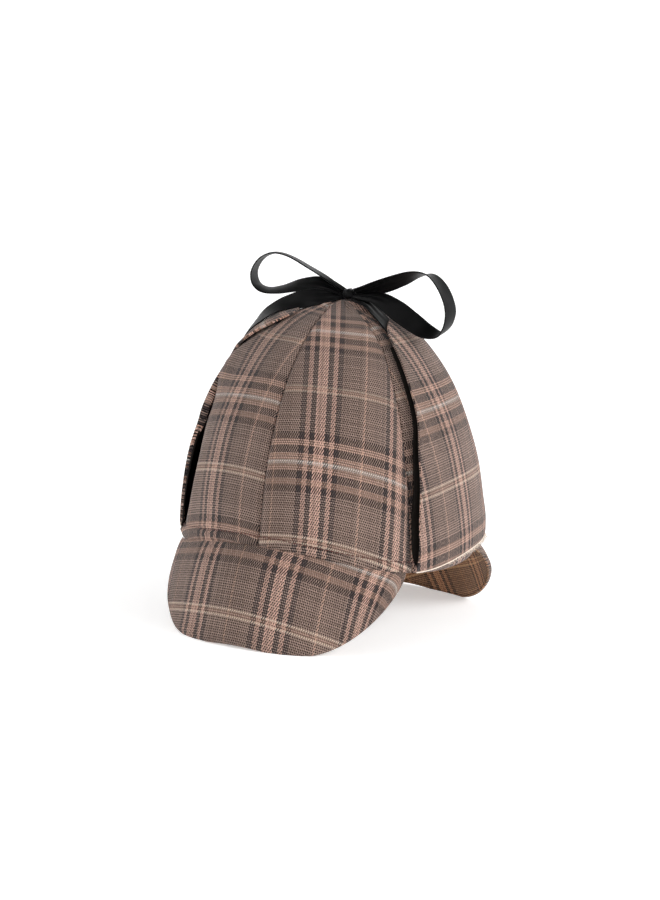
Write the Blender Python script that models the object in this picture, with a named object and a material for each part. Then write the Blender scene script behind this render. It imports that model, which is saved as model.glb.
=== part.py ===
"""Deerstalker hat: a six-panel cloth crown with a front and a rear visor and two ear flaps,
which are turned up over the crown and tied with a ribbon bow on its top.

The hat is modelled in its own frame: +Z up through the crown, -Y to the front, +X to the
wearer's left. It leans a little on its two visors where it stands, so every piece hangs on
an empty that carries this lean and puts the middle of the hat's box over the origin.
Angles around the crown are counted from the front, and go up to 180 at the back.
"""

import math

import bmesh
import bpy
from mathutils import Matrix, Vector

MM = 0.001

# Crown: an egg-shaped dome on an oval rim that rises at the front and at the back.
RIM_HALF_LENGTH = 96.0 * MM
RIM_HALF_WIDTH = 86.0 * MM
RIM_SIDE_HEIGHT = 35.0 * MM
RIM_RISE_FRONT = 16.0 * MM
RIM_RISE_REAR = 9.6 * MM
RIM_RISE_POWER = 3.1
CROWN_TOP_HEIGHT = 178.3 * MM
CROWN_FULLNESS = 0.952
CROWN_TOP_RISE = 89.0
CROWN_WALL = 2.0 * MM
PANEL_COUNT = 6
PANEL_GRID = (8, 16)

# Valleys that the seams pull into the crown.
SEAM_DIP = 0.9 * MM
SEAM_FADE_RISE = 6.0

# What each side adds to the smooth dome along the front edge of its flap: rise (degrees),
# then height and how far it reaches to the front and to the back (mm).
SIDE_RELIEF = {
    "left": (
        (0.0, -0.2, 8.0, 8.0),
        (5.0, -1.2, 10.0, 9.0),
        (12.0, -2.2, 11.0, 9.0),
        (24.0, -2.6, 11.0, 9.0),
        (34.0, -2.4, 10.0, 8.0),
        (44.0, -1.4, 9.0, 8.0),
        (54.0, -0.5, 9.0, 8.0),
        (64.0, 0.0, 9.0, 8.0),
        (90.0, 0.0, 9.0, 8.0),
    ),
    "right": (
        (0.0, -0.9, 9.0, 12.0),
        (6.5, -2.4, 9.0, 12.0),
        (15.5, -3.6, 9.0, 12.0),
        (24.5, -1.6, 9.0, 11.0),
        (30.0, 0.0, 9.0, 10.0),
        (36.0, 1.2, 11.0, 8.0),
        (42.0, 4.8, 14.0, 8.0),
        (48.0, 6.4, 15.0, 8.0),
        (54.0, 4.6, 18.0, 11.0),
        (60.0, 3.5, 21.0, 15.0),
        (70.0, 3.2, 22.0, 18.0),
        (78.0, 2.4, 22.0, 18.0),
        (84.0, 1.2, 22.0, 18.0),
        (90.0, 0.0, 22.0, 18.0),
    ),
}
SIDE_RELIEF_ANGLE = 60.5
SIDE_RELIEF_BLEND = 12.0 * MM

# Visors: stiff crescents that curve down from the rim.
VISOR_WALL = 3.0 * MM
VISOR_BULGE = 8.9 * MM
VISOR_TIP = 0.998
VISOR_GRID = (30, 7)
SOLE_CUT = 0.7 * MM
MOST_LEAN = 10.0

# Ear flaps: cloth over a dark lining, both turned up on the crown.
FLAP_WALL = 1.5 * MM
LINING_WALL = 1.0 * MM
FLAP_FIRST_RISE = 0.8
FLAP_EDGE_POWER = 2.5
FLAP_GRID = (12, 16)
LAYER_GAP = 0.6 * MM

# Ribbon, and the gap that pieces keep to each other.
RIBBON_WALL = 0.8 * MM
RIBBON_WIDTH = 12.5
TIE_ROWS = 14
LOOP_ROWS = 42
GAP = 0.3 * MM

# Each visor: half of its angle on the rim (degrees) and the share of it that the outer edge
# loses; reach outwards in the middle and what the sides add to it (mm); drop in the middle,
# what the sides add and what the corners take off (mm); powers that round its ends.
VISORS = {
    "front_visor": {
        "half_angle": 57.2,
        "narrowing": 0.33,
        "reach": 24.9,
        "side_reach": 0.0,
        "drop": 51.0,
        "side_drop": 2.1,
        "corner_lift": 8.7,
        "end_power": 3.67,
        "round_power": 0.603,
    },
    "rear_visor": {
        "half_angle": 66.0,
        "narrowing": 0.30,
        "reach": 29.1,
        "side_reach": 9.0,
        "drop": 62.3,
        "side_drop": 4.4,
        "corner_lift": 35.6,
        "end_power": 4.48,
        "round_power": 0.735,
    },
}

# Outline of an ear flap: rise on the crown, then how far it reaches from the crown's side
# line to the front and to the back, and how far its lining reaches past its front edge
# (degrees).
FLAP_OUTLINES = {
    "left": (
        (0.0, 32.0, 32.0, 3.2),
        (12.0, 30.0, 30.0, 3.4),
        (20.0, 29.0, 29.0, 2.6),
        (28.0, 28.0, 27.8, 1.2),
        (36.0, 25.7, 25.4, -0.4),
        (48.0, 25.3, 25.0, -0.8),
        (58.0, 24.6, 24.2, -0.8),
        (62.0, 23.6, 22.0, -0.8),
        (65.0, 21.0, 18.0, -0.8),
        (67.5, 15.5, 12.5, -0.8),
        (69.2, 9.0, 6.5, -0.8),
        (70.2, 3.5, 2.5, -0.8),
    ),
    "right": (
        (0.0, 31.0, 32.0, 2.6),
        (12.0, 30.5, 30.0, 3.4),
        (20.0, 30.0, 29.0, 2.6),
        (28.0, 29.5, 28.0, 1.2),
        (34.0, 29.0, 26.0, -0.4),
        (40.0, 25.5, 25.3, -2.0),
        (44.0, 23.0, 25.2, -3.0),
        (48.0, 23.2, 25.0, -5.0),
        (52.0, 29.0, 24.8, -9.0),
        (55.0, 36.0, 24.5, -12.0),
        (58.0, 41.5, 24.0, -12.0),
        (61.0, 46.0, 22.0, -10.0),
        (64.0, 51.0, 19.0, -8.0),
        (68.0, 56.0, 13.0, -6.0),
        (71.0, 57.0, 8.0, -6.0),
        (73.5, 50.0, 2.0, -6.0),
        (75.3, 38.0, -4.0, -6.0),
        (76.2, 28.0, -10.0, -6.0),
    ),
}

# How far a flap stands off the crown: rise (degrees), front edge, middle, back edge (mm).
FLAP_LIFTS = {
    "left": (
        (0.0, 0.4, 0.2, 1.0),
        (6.0, 2.0, 0.7, 2.8),
        (18.0, 2.2, 0.7, 2.2),
        (32.0, 1.8, 0.4, 1.0),
        (50.0, 1.4, 0.3, 0.8),
        (62.0, 1.0, 0.8, 0.8),
        (70.2, 0.9, 0.9, 0.9),
    ),
    "right": (
        (0.0, 0.0, 0.2, 0.6),
        (6.0, 0.0, 0.7, 1.8),
        (18.0, 0.3, 0.7, 2.2),
        (30.0, 1.2, 0.6, 1.6),
        (38.0, 3.0, 0.7, 1.3),
        (46.0, 4.6, 0.8, 1.2),
        (52.0, 5.4, 1.6, 1.2),
        (56.0, 4.8, 2.9, 1.4),
        (63.0, 4.1, 3.5, 1.6),
        (71.0, 3.4, 3.2, 1.8),
        (76.2, 3.2, 3.0, 1.8),
    ),
}

# Layers of an ear flap: where each ends (rise in degrees), how much of the lining's reach it
# has at its front edge, and how much further it goes at its back edge (degrees).
FLAP_LAYERS = {
    "ear_flap": {
        "floor": GAP + LINING_WALL + LAYER_GAP,
        "wall": FLAP_WALL,
        "last_rise": {"left": 70.2, "right": 76.2},
        "past_front": 0.0,
        "past_back": 0.0,
    },
    "flap_lining": {
        "floor": GAP,
        "wall": LINING_WALL,
        "last_rise": {"left": 59.5, "right": 70.0},
        "past_front": 1.0,
        "past_back": -1.5,
    },
}

# Ribbon from each flap's tip to the knot: angle and rise (degrees), height above the crown
# (mm), how far the ribbon leans from lying flat on the crown (degrees).
TIES = {
    "left": (
        (76.0, 60.5, 1.0, 0.0),
        (76.6, 65.0, 1.1, 0.0),
        (77.5, 70.0, 1.6, 0.0),
        (78.5, 74.0, 3.0, 0.0),
        (84.0, 79.0, 4.6, 4.0),
    ),
    "right": (
        (-86.0, 49.0, 6.0, 0.0),
        (-75.0, 57.0, 8.6, -4.0),
        (-67.0, 63.0, 9.4, -8.0),
        (-64.0, 69.0, 9.2, -10.0),
        (-66.0, 75.0, 8.4, -9.0),
        (-72.0, 80.0, 6.8, -4.0),
    ),
}

# The knot's middle and half sizes (mm), and the power that squares off its round form.
KNOT = {"x": 5.2, "y": 0.0, "z": 184.8, "half_x": 3.6, "half_y": 4.8, "half_z": 3.8}
KNOT_BOXINESS = 0.75

# Where the ties and the tails meet the knot: drop below its middle, gap to it or distance to
# the side of its middle, and the width of the gathered ribbon there (mm).
KNOT_GAP = 0.6
TIE_END = {"drop": 2.0, "width": 6.0, "gap": 1.2}
TAIL_END = {"drop": 0.6, "aside": 2.4, "width": 4.0}

# Bow loops, from the knot along the upper strand and back along the lower one:
# x, y, z and width (mm), lean of the ribbon's width (degrees).
BOW_LOOPS = {
    "left": (
        (9.4, 0.0, 187.2, 6.0, 0.0),
        (22.0, -0.5, 189.4, 11.5, 14.0),
        (37.5, -1.0, 196.2, 12.5, 20.0),
        (47.5, -1.0, 199.8, 12.5, 12.0),
        (55.5, -0.5, 199.6, 12.5, 2.0),
        (62.0, 0.0, 194.5, 12.5, -6.0),
        (67.2, 0.0, 186.5, 12.5, -8.0),
        (69.4, 0.0, 179.0, 12.5, -8.0),
        (68.2, -1.0, 171.8, 12.5, 0.0),
        (64.0, -2.0, 167.6, 12.5, 10.0),
        (56.5, -4.0, 168.6, 12.5, 32.0),
        (47.0, -6.5, 173.6, 12.5, 50.0),
        (38.0, -6.5, 179.0, 12.5, 54.0),
        (26.0, -3.5, 184.2, 10.5, 36.0),
        (9.4, 0.0, 185.0, 6.0, 0.0),
    ),
    "right": (
        (1.0, 0.0, 187.2, 6.0, 0.0),
        (-9.0, -0.5, 192.4, 11.5, -6.0),
        (-20.0, -1.0, 197.8, 12.5, -8.0),
        (-34.0, -1.0, 204.2, 12.5, -8.0),
        (-44.6, -1.0, 205.6, 12.5, -2.0),
        (-53.4, -0.5, 201.6, 12.5, 6.0),
        (-58.2, 0.0, 193.5, 12.5, 8.0),
        (-56.6, 0.0, 186.5, 12.5, 4.0),
        (-50.5, 0.0, 183.2, 12.5, -8.0),
        (-41.0, 1.0, 184.0, 12.5, -20.0),
        (-29.0, 2.0, 187.2, 12.5, -34.0),
        (-16.0, 2.0, 189.4, 11.5, -38.0),
        (-6.5, 1.0, 187.8, 9.0, -22.0),
        (1.0, 0.0, 185.0, 6.0, 0.0),
    ),
}

# Ribbon tails on the back of the crown: angle and rise (degrees), height (mm).
TAILS = {
    "left": (
        (146.0, 81.0, 2.0),
        (154.0, 74.0, 1.0),
        (158.0, 62.0, 1.0),
        (156.0, 50.0, 1.0),
        (155.5, 38.0, 1.0),
    ),
    "right": (
        (-150.0, 81.0, 2.0),
        (-156.0, 74.0, 1.0),
        (-161.0, 62.0, 1.0),
        (-160.0, 52.0, 1.0),
        (-160.5, 43.0, 1.0),
    ),
}

# Colours and roughness of the cloths.
FINISHES = {
    "check_cloth": ((0.235, 0.165, 0.125, 1.0), 0.85),
    "dark_lining": ((0.012, 0.011, 0.011, 1.0), 0.6),
    "black_ribbon": ((0.010, 0.010, 0.011, 1.0), 0.3),
}


def smooth_row(table, place):
    """Row of a table at a place in its first column, on a smooth curve through the rows."""
    last = len(table) - 2
    low = max(0, min(last, sum(row[0] <= place for row in table) - 1))
    before, start, end, after = (table[max(0, min(last + 1, low + step))] for step in (-1, 0, 1, 2))
    span = end[0] - start[0]
    part = max(0.0, min(1.0, (place - start[0]) / span))
    out = []
    for column in range(1, len(start)):
        slope_start = (end[column] - before[column]) / (end[0] - before[0]) * span
        slope_end = (after[column] - start[column]) / (after[0] - start[0]) * span
        cubic = (
            (2 * part**3 - 3 * part**2 + 1) * start[column]
            + (part**3 - 2 * part**2 + part) * slope_start
            + (3 * part**2 - 2 * part**3) * end[column]
            + (part**3 - part**2) * slope_end
        )
        out.append(cubic)
    return out


def rim_point(angle):
    """Point on the rim's outer edge."""
    turn = math.radians(angle)
    rise = RIM_RISE_FRONT if math.cos(turn) > 0 else RIM_RISE_REAR
    height = RIM_SIDE_HEIGHT + rise * abs(math.cos(turn)) ** RIM_RISE_POWER
    return Vector((RIM_HALF_WIDTH * math.sin(turn), -RIM_HALF_LENGTH * math.cos(turn), height))


def dome_point(angle, rise):
    """Point on the smooth dome, at rise 0 on the rim and at rise 90 on the top."""
    foot = rim_point(angle)
    spread = max(0.0, math.cos(math.radians(rise))) ** CROWN_FULLNESS
    climb = math.sin(math.radians(rise))
    height = foot.z + (CROWN_TOP_HEIGHT - foot.z) * climb
    return Vector((foot.x * spread, foot.y * spread, height))


def dome_outward(angle, rise):
    """Direction that points straight out of the dome."""
    step = 0.2
    rise = min(rise, CROWN_TOP_RISE)
    along = dome_point(angle, rise + step) - dome_point(angle, rise - step)
    round_ = dome_point(angle + step, rise) - dome_point(angle - step, rise)
    return round_.cross(along).normalized()


def above_dome(angle, rise, height):
    """Point at a height above the dome, or below it where the height is negative."""
    return dome_point(angle, rise) + dome_outward(angle, rise) * height


def crown_relief(angle, rise):
    """Height of the crown's outer face over the smooth dome, from its seams and its sides."""
    off_seam = abs(math.sin(math.radians(angle) * PANEL_COUNT / 2))
    fade = min(1.0, rise / SEAM_FADE_RISE) * math.cos(math.radians(rise))
    relief = -SEAM_DIP * fade * (1 - off_seam) ** 2
    point = dome_point(angle, rise)
    off_side = math.radians(abs(angle) - SIDE_RELIEF_ANGLE) * math.hypot(point.x, point.y)
    for sign, side in ((1, "left"), (-1, "right")):
        height, ahead, behind = smooth_row(SIDE_RELIEF[side], rise)
        on_side = max(0.0, min(1.0, 0.5 + sign * point.x / SIDE_RELIEF_BLEND))
        reach = (behind if off_side > 0 else ahead) * MM
        relief += height * MM * on_side * math.exp(-((off_side / reach) ** 2))
    return relief


def face_outwards(mesh):
    """Turn all faces of a closed mesh to point out of it."""
    bmesh.ops.recalc_face_normals(mesh, faces=mesh.faces)
    if mesh.calc_volume(signed=True) < 0:
        bmesh.ops.reverse_faces(mesh, faces=mesh.faces)


def cloth_sheet(columns, rows, surface):
    """Closed sheet: surface(across, along, inside) gives its outer and its inner face."""
    mesh = bmesh.new()
    bmesh.ops.create_grid(mesh, x_segments=columns, y_segments=rows, size=1.0)
    outer = list(mesh.verts)
    twin = bmesh.ops.extrude_face_region(mesh, geom=mesh.faces[:], use_keep_orig=True)
    inner = [item for item in twin["geom"] if isinstance(item, bmesh.types.BMVert)]
    for verts, inside in ((outer, False), (inner, True)):
        for vert in verts:
            vert.co = surface((vert.co.x + 1) / 2, (vert.co.y + 1) / 2, inside)
    face_outwards(mesh)
    return mesh


def crown_panel_surface(first_angle, last_angle):
    """Surface of one crown panel between two seams, which keeps clear of its neighbours."""

    def surface(across, along, inside):
        rise = CROWN_TOP_RISE * along
        foot = dome_point((first_angle + last_angle) / 2, rise)
        margin = math.degrees(GAP / 2 / math.hypot(foot.x, foot.y))
        angle = first_angle + margin + (last_angle - first_angle - 2 * margin) * across
        return above_dome(angle, rise, crown_relief(angle, rise) - inside * CROWN_WALL)

    return surface


def visor_skin(visor, across, along):
    """Upper face of a visor: across runs from tip to tip, along from the rim outwards."""
    place = (2 * across - 1) * VISOR_TIP
    root = rim_point(place * visor["half_angle"])
    if visor is VISORS["rear_visor"]:
        root.z = rim_point(180 - place * visor["half_angle"]).z
    root.z -= GAP
    width = (1 - abs(place) ** visor["end_power"]) ** visor["round_power"]
    drop = visor["drop"] + visor["side_drop"] * place**2 - visor["corner_lift"] * place**4
    turn = math.atan2(root.x, -root.y) * (1 - visor["narrowing"] * width)
    reach = visor["reach"] + visor["side_reach"] * place**2
    radius = math.hypot(root.x, root.y) + reach * MM * width
    height = root.z - drop * MM * width
    brim = Vector((radius * math.sin(turn), -radius * math.cos(turn), height))
    skin = root.lerp(brim, along)
    skin.z += VISOR_BULGE * 4 * along * (1 - along) * width
    return skin


def visor_surface(visor, half_turn):
    """Surface of a visor's wall, turned to the back of the hat where half_turn says so."""
    step = 0.002

    def surface(across, along, inside):
        place = math.sin((2 * across - 1) * math.pi / 2) / 2 + 0.5
        point = visor_skin(visor, place, along)
        near = min(max(place, step), 1 - step)
        side = visor_skin(visor, near + step, along) - visor_skin(visor, near - step, along)
        out = visor_skin(visor, near, along + step) - visor_skin(visor, near, along - step)
        point += side.cross(out).normalized() * inside * VISOR_WALL
        return Matrix.Rotation(math.pi * half_turn, 3, "Z") @ point

    return surface


def flap_surface(side, layer):
    """Surface of a layer of an ear flap."""
    sign = 1 if side == "left" else -1
    last_rise = layer["last_rise"][side]

    def surface(across, along, inside):
        rise = FLAP_FIRST_RISE + (last_rise - FLAP_FIRST_RISE) * along
        ahead, behind, past = smooth_row(FLAP_OUTLINES[side], rise)
        first = -ahead - past * layer["past_front"]
        off_side = first + (behind + layer["past_back"] - first) * across
        place = (2 * off_side + ahead - behind) / (ahead + behind)
        front, middle, back = smooth_row(FLAP_LIFTS[side], rise)
        edge = back if place > 0 else front
        lift = middle + (edge - middle) * min(1.0, abs(place)) ** FLAP_EDGE_POWER
        height = layer["floor"] + lift * MM + layer["wall"] * (not inside)
        return above_dome(sign * (90 + off_side), rise, height)

    return surface


def ribbon_surface(route, reference):
    """Surface of a ribbon along a route: x, y, z, width (mm) and lean (degrees) in each row."""
    stations = [(0.0, *route[0])]
    for row in route[1:]:
        way = math.dist(row[:3], stations[-1][1:4])
        stations.append((stations[-1][0] + way, *row))
    length = stations[-1][0]
    step = 0.4

    def centre(way):
        return Vector(smooth_row(stations, way)[:3]) * MM

    def surface(across, along, inside):
        way = length * along
        width, lean = smooth_row(stations, way)[3:]
        forward = (centre(min(length, way + step)) - centre(max(0.0, way - step))).normalized()
        flat = (reference - forward * reference.dot(forward)).normalized()
        face = flat.cross(forward)
        turn = math.radians(lean)
        width_way = flat * math.cos(turn) + face * math.sin(turn)
        face_way = width_way.cross(forward)
        offset = width_way * width * MM * (across - 0.5)
        return centre(way) + offset + face_way * RIBBON_WALL * (0.5 - inside)

    return surface


def route_on_dome(rows):
    """Ribbon route in millimetres from rows of angle, rise, height, width and lean."""
    route = []
    for angle, rise, height, width, lean in rows:
        point = above_dome(angle, rise, height * MM) / MM
        route.append((*point, width, lean))
    return route


def tie_route(side):
    """Route of the ribbon from a flap's outer face to the knot."""
    sign = 1 if side == "left" else -1
    rows = [
        (angle, rise, height, RIBBON_WIDTH, lean - lean_on_dome(angle, rise, Vector((0, 1, 0))))
        for angle, rise, height, lean in TIES[side]
    ]
    aside = sign * (KNOT["half_x"] + TIE_END["gap"])
    knot_end = (KNOT["x"] + aside, KNOT["y"], KNOT["z"] - TIE_END["drop"])
    return route_on_dome(rows) + [(*knot_end, TIE_END["width"], 0.0)]


def lean_on_dome(angle, rise, reference):
    """Lean at which a ribbon that runs down the dome lies flat on it."""
    forward = (dome_point(angle, rise - 1) - dome_point(angle, rise)).normalized()
    flat = (reference - forward * reference.dot(forward)).normalized()
    outward = dome_outward(angle, rise)
    return math.degrees(math.atan(-flat.dot(outward) / flat.cross(forward).dot(outward)))


def tail_route(side, reference):
    """Route of a ribbon tail from the knot's back down the rear of the crown."""
    aside = TAIL_END["aside"] if side == "left" else -TAIL_END["aside"]
    behind = KNOT["y"] + KNOT["half_y"] + KNOT_GAP
    knot_end = (KNOT["x"] + aside, behind, KNOT["z"] - TAIL_END["drop"])
    rows = [
        (angle, rise, height, RIBBON_WIDTH, lean_on_dome(angle, rise, reference))
        for angle, rise, height in TAILS[side]
    ]
    return [(*knot_end, TAIL_END["width"], 0.0)] + route_on_dome(rows)


def visor_low_point(visor, half_turn, tilt):
    """Lowest height of a visor's outer edge when the hat leans forward by a tilt."""
    forwards = -math.sin(tilt) if half_turn else math.sin(tilt)
    places = 2 * VISOR_GRID[0]
    edge = (visor_skin(visor, place / places, 1.0) for place in range(places + 1))
    return min(point.z * math.cos(tilt) + point.y * forwards for point in edge)


def rest_tilt():
    """Lean at which the front and the rear visor touch the ground together."""
    low, high = math.radians(-MOST_LEAN), math.radians(MOST_LEAN)
    while high - low > 1e-9:
        tilt = (low + high) / 2
        front = visor_low_point(VISORS["front_visor"], False, tilt)
        if front < visor_low_point(VISORS["rear_visor"], True, tilt):
            high = tilt
        else:
            low = tilt
    return tilt


def flatten_sole(mesh, tilt):
    """Cut a visor's lowest edge flat, where the hat's weight presses it on the ground."""
    up = Vector((0, math.sin(tilt), math.cos(tilt)))
    ground = visor_low_point(VISORS["front_visor"], False, tilt) + SOLE_CUT
    everything = mesh.verts[:] + mesh.edges[:] + mesh.faces[:]
    cut = bmesh.ops.bisect_plane(
        mesh, geom=everything, plane_co=up * ground, plane_no=up, clear_inner=True, dist=1e-6
    )
    rim = [item for item in cut["geom_cut"] if isinstance(item, bmesh.types.BMEdge)]
    bmesh.ops.holes_fill(mesh, edges=rim)
    face_outwards(mesh)


def make_knot():
    """Rounded knot that the ribbons run into."""
    mesh = bmesh.new()
    bmesh.ops.create_uvsphere(mesh, u_segments=14, v_segments=9, radius=1.0)
    half = Vector((KNOT["half_x"], KNOT["half_y"], KNOT["half_z"])) * MM
    centre = Vector((KNOT["x"], KNOT["y"], KNOT["z"])) * MM
    for vert in mesh.verts:
        boxy = [math.copysign(abs(value) ** KNOT_BOXINESS, value) for value in vert.co]
        vert.co = centre + Vector(value * size for value, size in zip(boxy, half))
    return mesh


def make_material(name):
    """Plain cloth material."""
    colour, roughness = FINISHES[name]
    material = bpy.data.materials.new(name)
    material.use_nodes = True
    shader = material.node_tree.nodes["Principled BSDF"]
    shader.inputs["Base Color"].default_value = colour
    shader.inputs["Roughness"].default_value = roughness
    shader.inputs["Metallic"].default_value = 0.0
    return material


def add_piece(name, mesh, finish, hat):
    """Put a finished bmesh on the hat as a named object with its own material."""
    data = bpy.data.meshes.new(name)
    mesh.to_mesh(data)
    mesh.free()
    data.shade_smooth()
    data.set_sharp_from_angle(angle=math.radians(50))
    data.materials.append(make_material(finish))
    piece = bpy.data.objects.new(name, data)
    piece.parent = hat
    bpy.context.scene.collection.objects.link(piece)


def build_crown(hat):
    """Six gored panels, three on each side of the front and rear centre seams."""
    for side, sign in (("left", 1), ("right", -1)):
        for place, first in (("front", 0), ("side", 60), ("rear", 120)):
            angles = sorted((sign * first, sign * (first + 360 // PANEL_COUNT)))
            mesh = cloth_sheet(*PANEL_GRID, crown_panel_surface(*angles))
            add_piece(f"crown_{place}_{side}", mesh, "check_cloth", hat)


def build_visors(hat, tilt):
    """Front and rear visor, each flat where it stands on the ground."""
    for name, half_turn in (("front_visor", False), ("rear_visor", True)):
        mesh = cloth_sheet(*VISOR_GRID, visor_surface(VISORS[name], half_turn))
        flatten_sole(mesh, tilt)
        add_piece(name, mesh, "check_cloth", hat)


def build_flaps(hat):
    """Two ear flaps, each a dark lining with the check cloth over it."""
    for side in ("left", "right"):
        for name, finish in (("flap_lining", "dark_lining"), ("ear_flap", "check_cloth")):
            mesh = cloth_sheet(*FLAP_GRID, flap_surface(side, FLAP_LAYERS[name]))
            add_piece(f"{side}_{name}", mesh, finish, hat)


def build_ribbon(hat):
    """The ties on the flaps, the bow's loops, its knot and its tails."""
    along_y, along_x = Vector((0, 1, 0)), Vector((1, 0, 0))
    for side in ("left", "right"):
        pieces = (
            (f"{side}_tie", tie_route(side), along_y, TIE_ROWS),
            (f"{side}_bow_loop", BOW_LOOPS[side], along_y, LOOP_ROWS),
            (f"{side}_ribbon_tail", tail_route(side, along_x), along_x, TIE_ROWS),
        )
        for name, route, reference, rows in pieces:
            mesh = cloth_sheet(1, rows, ribbon_surface(route, reference))
            add_piece(name, mesh, "black_ribbon", hat)
    add_piece("bow_knot", make_knot(), "black_ribbon", hat)


def stand_on_ground(hat, tilt):
    """Lean the hat on its visors, with the bottom centre of its box on the origin."""
    turn = Matrix.Rotation(tilt, 3, "X")
    points = [turn @ vert.co for piece in hat.children for vert in piece.data.vertices]
    low = Vector(min(point[axis] for point in points) for axis in range(3))
    high = Vector(max(point[axis] for point in points) for axis in range(3))
    hat.rotation_euler.x = tilt
    hat.location = (-(low.x + high.x) / 2, -(low.y + high.y) / 2, -low.z)


def main():
    """Build the hat."""
    for item in list(bpy.data.objects):
        bpy.data.objects.remove(item)
    hat = bpy.data.objects.new("deerstalker", None)
    bpy.context.scene.collection.objects.link(hat)
    tilt = rest_tilt()
    build_crown(hat)
    build_visors(hat, tilt)
    build_flaps(hat)
    build_ribbon(hat)
    stand_on_ground(hat, tilt)


main()
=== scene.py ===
"""Looks of a deerstalker hat: a crown of six check gores, two visors and two ear flaps, which are
turned up and tied over the crown with a black satin ribbon.

Each piece of cloth starts as a flat pad of its real size, and is then formed on the hat. Forms are
worked out in millimetres in the hat's own upright frame, with -Y to the front and +X to the
wearer's left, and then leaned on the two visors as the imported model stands. Angles around the
crown are in degrees from the front, and rises go from 0 on the rim to 90 on the top.
"""

import logging
import math
from collections.abc import Sequence
from dataclasses import dataclass, field
from enum import Enum

import bmesh
import bpy
import numpy as np
from mathutils import Matrix, Vector


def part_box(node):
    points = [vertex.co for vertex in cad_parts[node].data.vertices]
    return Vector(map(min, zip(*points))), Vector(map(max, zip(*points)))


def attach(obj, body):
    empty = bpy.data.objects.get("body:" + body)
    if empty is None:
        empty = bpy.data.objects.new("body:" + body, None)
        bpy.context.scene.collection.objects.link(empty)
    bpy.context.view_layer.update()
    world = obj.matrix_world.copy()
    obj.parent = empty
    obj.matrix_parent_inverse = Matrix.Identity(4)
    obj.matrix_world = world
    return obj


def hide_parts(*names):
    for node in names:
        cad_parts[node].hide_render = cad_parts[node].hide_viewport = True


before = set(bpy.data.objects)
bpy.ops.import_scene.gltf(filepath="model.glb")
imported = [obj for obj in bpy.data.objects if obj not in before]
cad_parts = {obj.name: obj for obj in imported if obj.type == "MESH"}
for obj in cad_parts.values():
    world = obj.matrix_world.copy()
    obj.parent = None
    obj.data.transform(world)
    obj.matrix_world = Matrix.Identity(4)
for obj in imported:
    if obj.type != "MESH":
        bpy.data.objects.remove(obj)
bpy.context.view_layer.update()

Array = np.ndarray
Mesh = bmesh.types.BMesh
Material = bpy.types.Material
Object = bpy.types.Object
Socket = bpy.types.NodeSocket
Triple = tuple[float, float, float]

LOG = logging.getLogger("hat")
MM = 0.001
BODY = "root"
WALK = np.linspace(0, 1, 13)[:, None]  # shares of a way at which its length is summed


class Side(Enum):
    """Sides of the hat, as its wearer has them."""

    LEFT = "left"
    RIGHT = "right"

    @property
    def sign(self) -> int:
        """Sign of X on this side."""
        return 1 if self is Side.LEFT else -1


class Slot(Enum):
    """Material slots of the record."""

    CLOTH = "check_cloth"
    LINING = "dark_lining"
    RIBBON = "black_ribbon"


# ---- small helpers


def unit(vectors: Array) -> Array:
    """Rows of vectors at length one."""
    return vectors / np.linalg.norm(vectors, axis=-1, keepdims=True)


def steps(points: Array) -> Array:
    """Distances from each point of a way to the next, along the first axis."""
    return np.linalg.norm(np.diff(points, axis=0), axis=-1)


def walked(points: Array) -> Array:
    """Distances walked up to each point of a way."""
    return np.concatenate([[0.0], np.cumsum(steps(points))])


def bell(distance: Array, width: float | Array) -> Array:
    """Soft hump: one at no distance, and fading beyond its width."""
    return np.exp(-((distance / width) ** 2))


def vert_rows(mesh: Mesh) -> Array:
    """Places of a mesh's vertices."""
    return np.array([vert.co[:] for vert in mesh.verts])


def smooth_rows(table: Sequence[Sequence[float]], places: Array) -> Array:
    """Columns of a table at places in its first column, on smooth curves through its rows.

    Args:
        table: rows that start with a rising place.
        places: where the columns are wanted.

    Returns:
        One row for each place, without the first column.
    """
    rows = np.asarray(table, float)
    last = len(rows) - 2
    low = np.clip(np.searchsorted(rows[:, 0], places, side="right") - 1, 0, last)
    before, after = np.maximum(low - 1, 0), np.minimum(low + 2, last + 1)
    start, end = rows[low], rows[low + 1]
    span = (end - start)[:, :1]
    part = np.clip((places[:, None] - start[:, :1]) / span, 0, 1)
    slope_start = (end - rows[before]) / (end - rows[before])[:, :1] * span
    slope_end = (rows[after] - start) / (rows[after] - start)[:, :1] * span
    cubic = (
        (2 * part**3 - 3 * part**2 + 1) * start
        + (part**3 - 2 * part**2 + part) * slope_start
        + (3 * part**2 - 2 * part**3) * end
        + (part**3 - part**2) * slope_end
    )
    return cubic[:, 1:]


# ---- where the hat stands


@dataclass(frozen=True)
class Stand:
    """How the upright hat leans on its visors, and where it stands.

    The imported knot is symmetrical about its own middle, so its box gives the hat's place.
    """

    lean: float = 4.10256
    knot: Triple = (5.2, 0.0, 184.8)

    def turn(self) -> Matrix:
        """Rotation of the lean."""
        return Matrix.Rotation(math.radians(self.lean), 3, "X")

    def shift(self) -> Vector:
        """Place of the upright frame's origin, in metres."""
        low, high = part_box("bow_knot")
        return (low + high) / 2 - self.turn() @ (Vector(self.knot) * MM)

    def place(self, point: Vector) -> Vector:
        """One place of the upright hat, in metres, as a place in the scene."""
        return self.turn() @ point + self.shift()

    def seat(self, mesh: Mesh, points: Array | None = None) -> None:
        """Move a mesh from the upright hat to its place in the scene, none of it below ground.

        Args:
            mesh: the mesh.
            points: places of its vertices in millimetres, where it doesn't hold them itself.
        """
        points = vert_rows(mesh) if points is None else points
        places = points @ np.array(self.turn()).T * MM + np.array(self.shift())
        places[:, 2] = np.maximum(places[:, 2], 0.0)
        for vert, place in zip(mesh.verts, places):
            vert.co = place


STAND = Stand()


# ---- forms that pieces lie on


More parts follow.
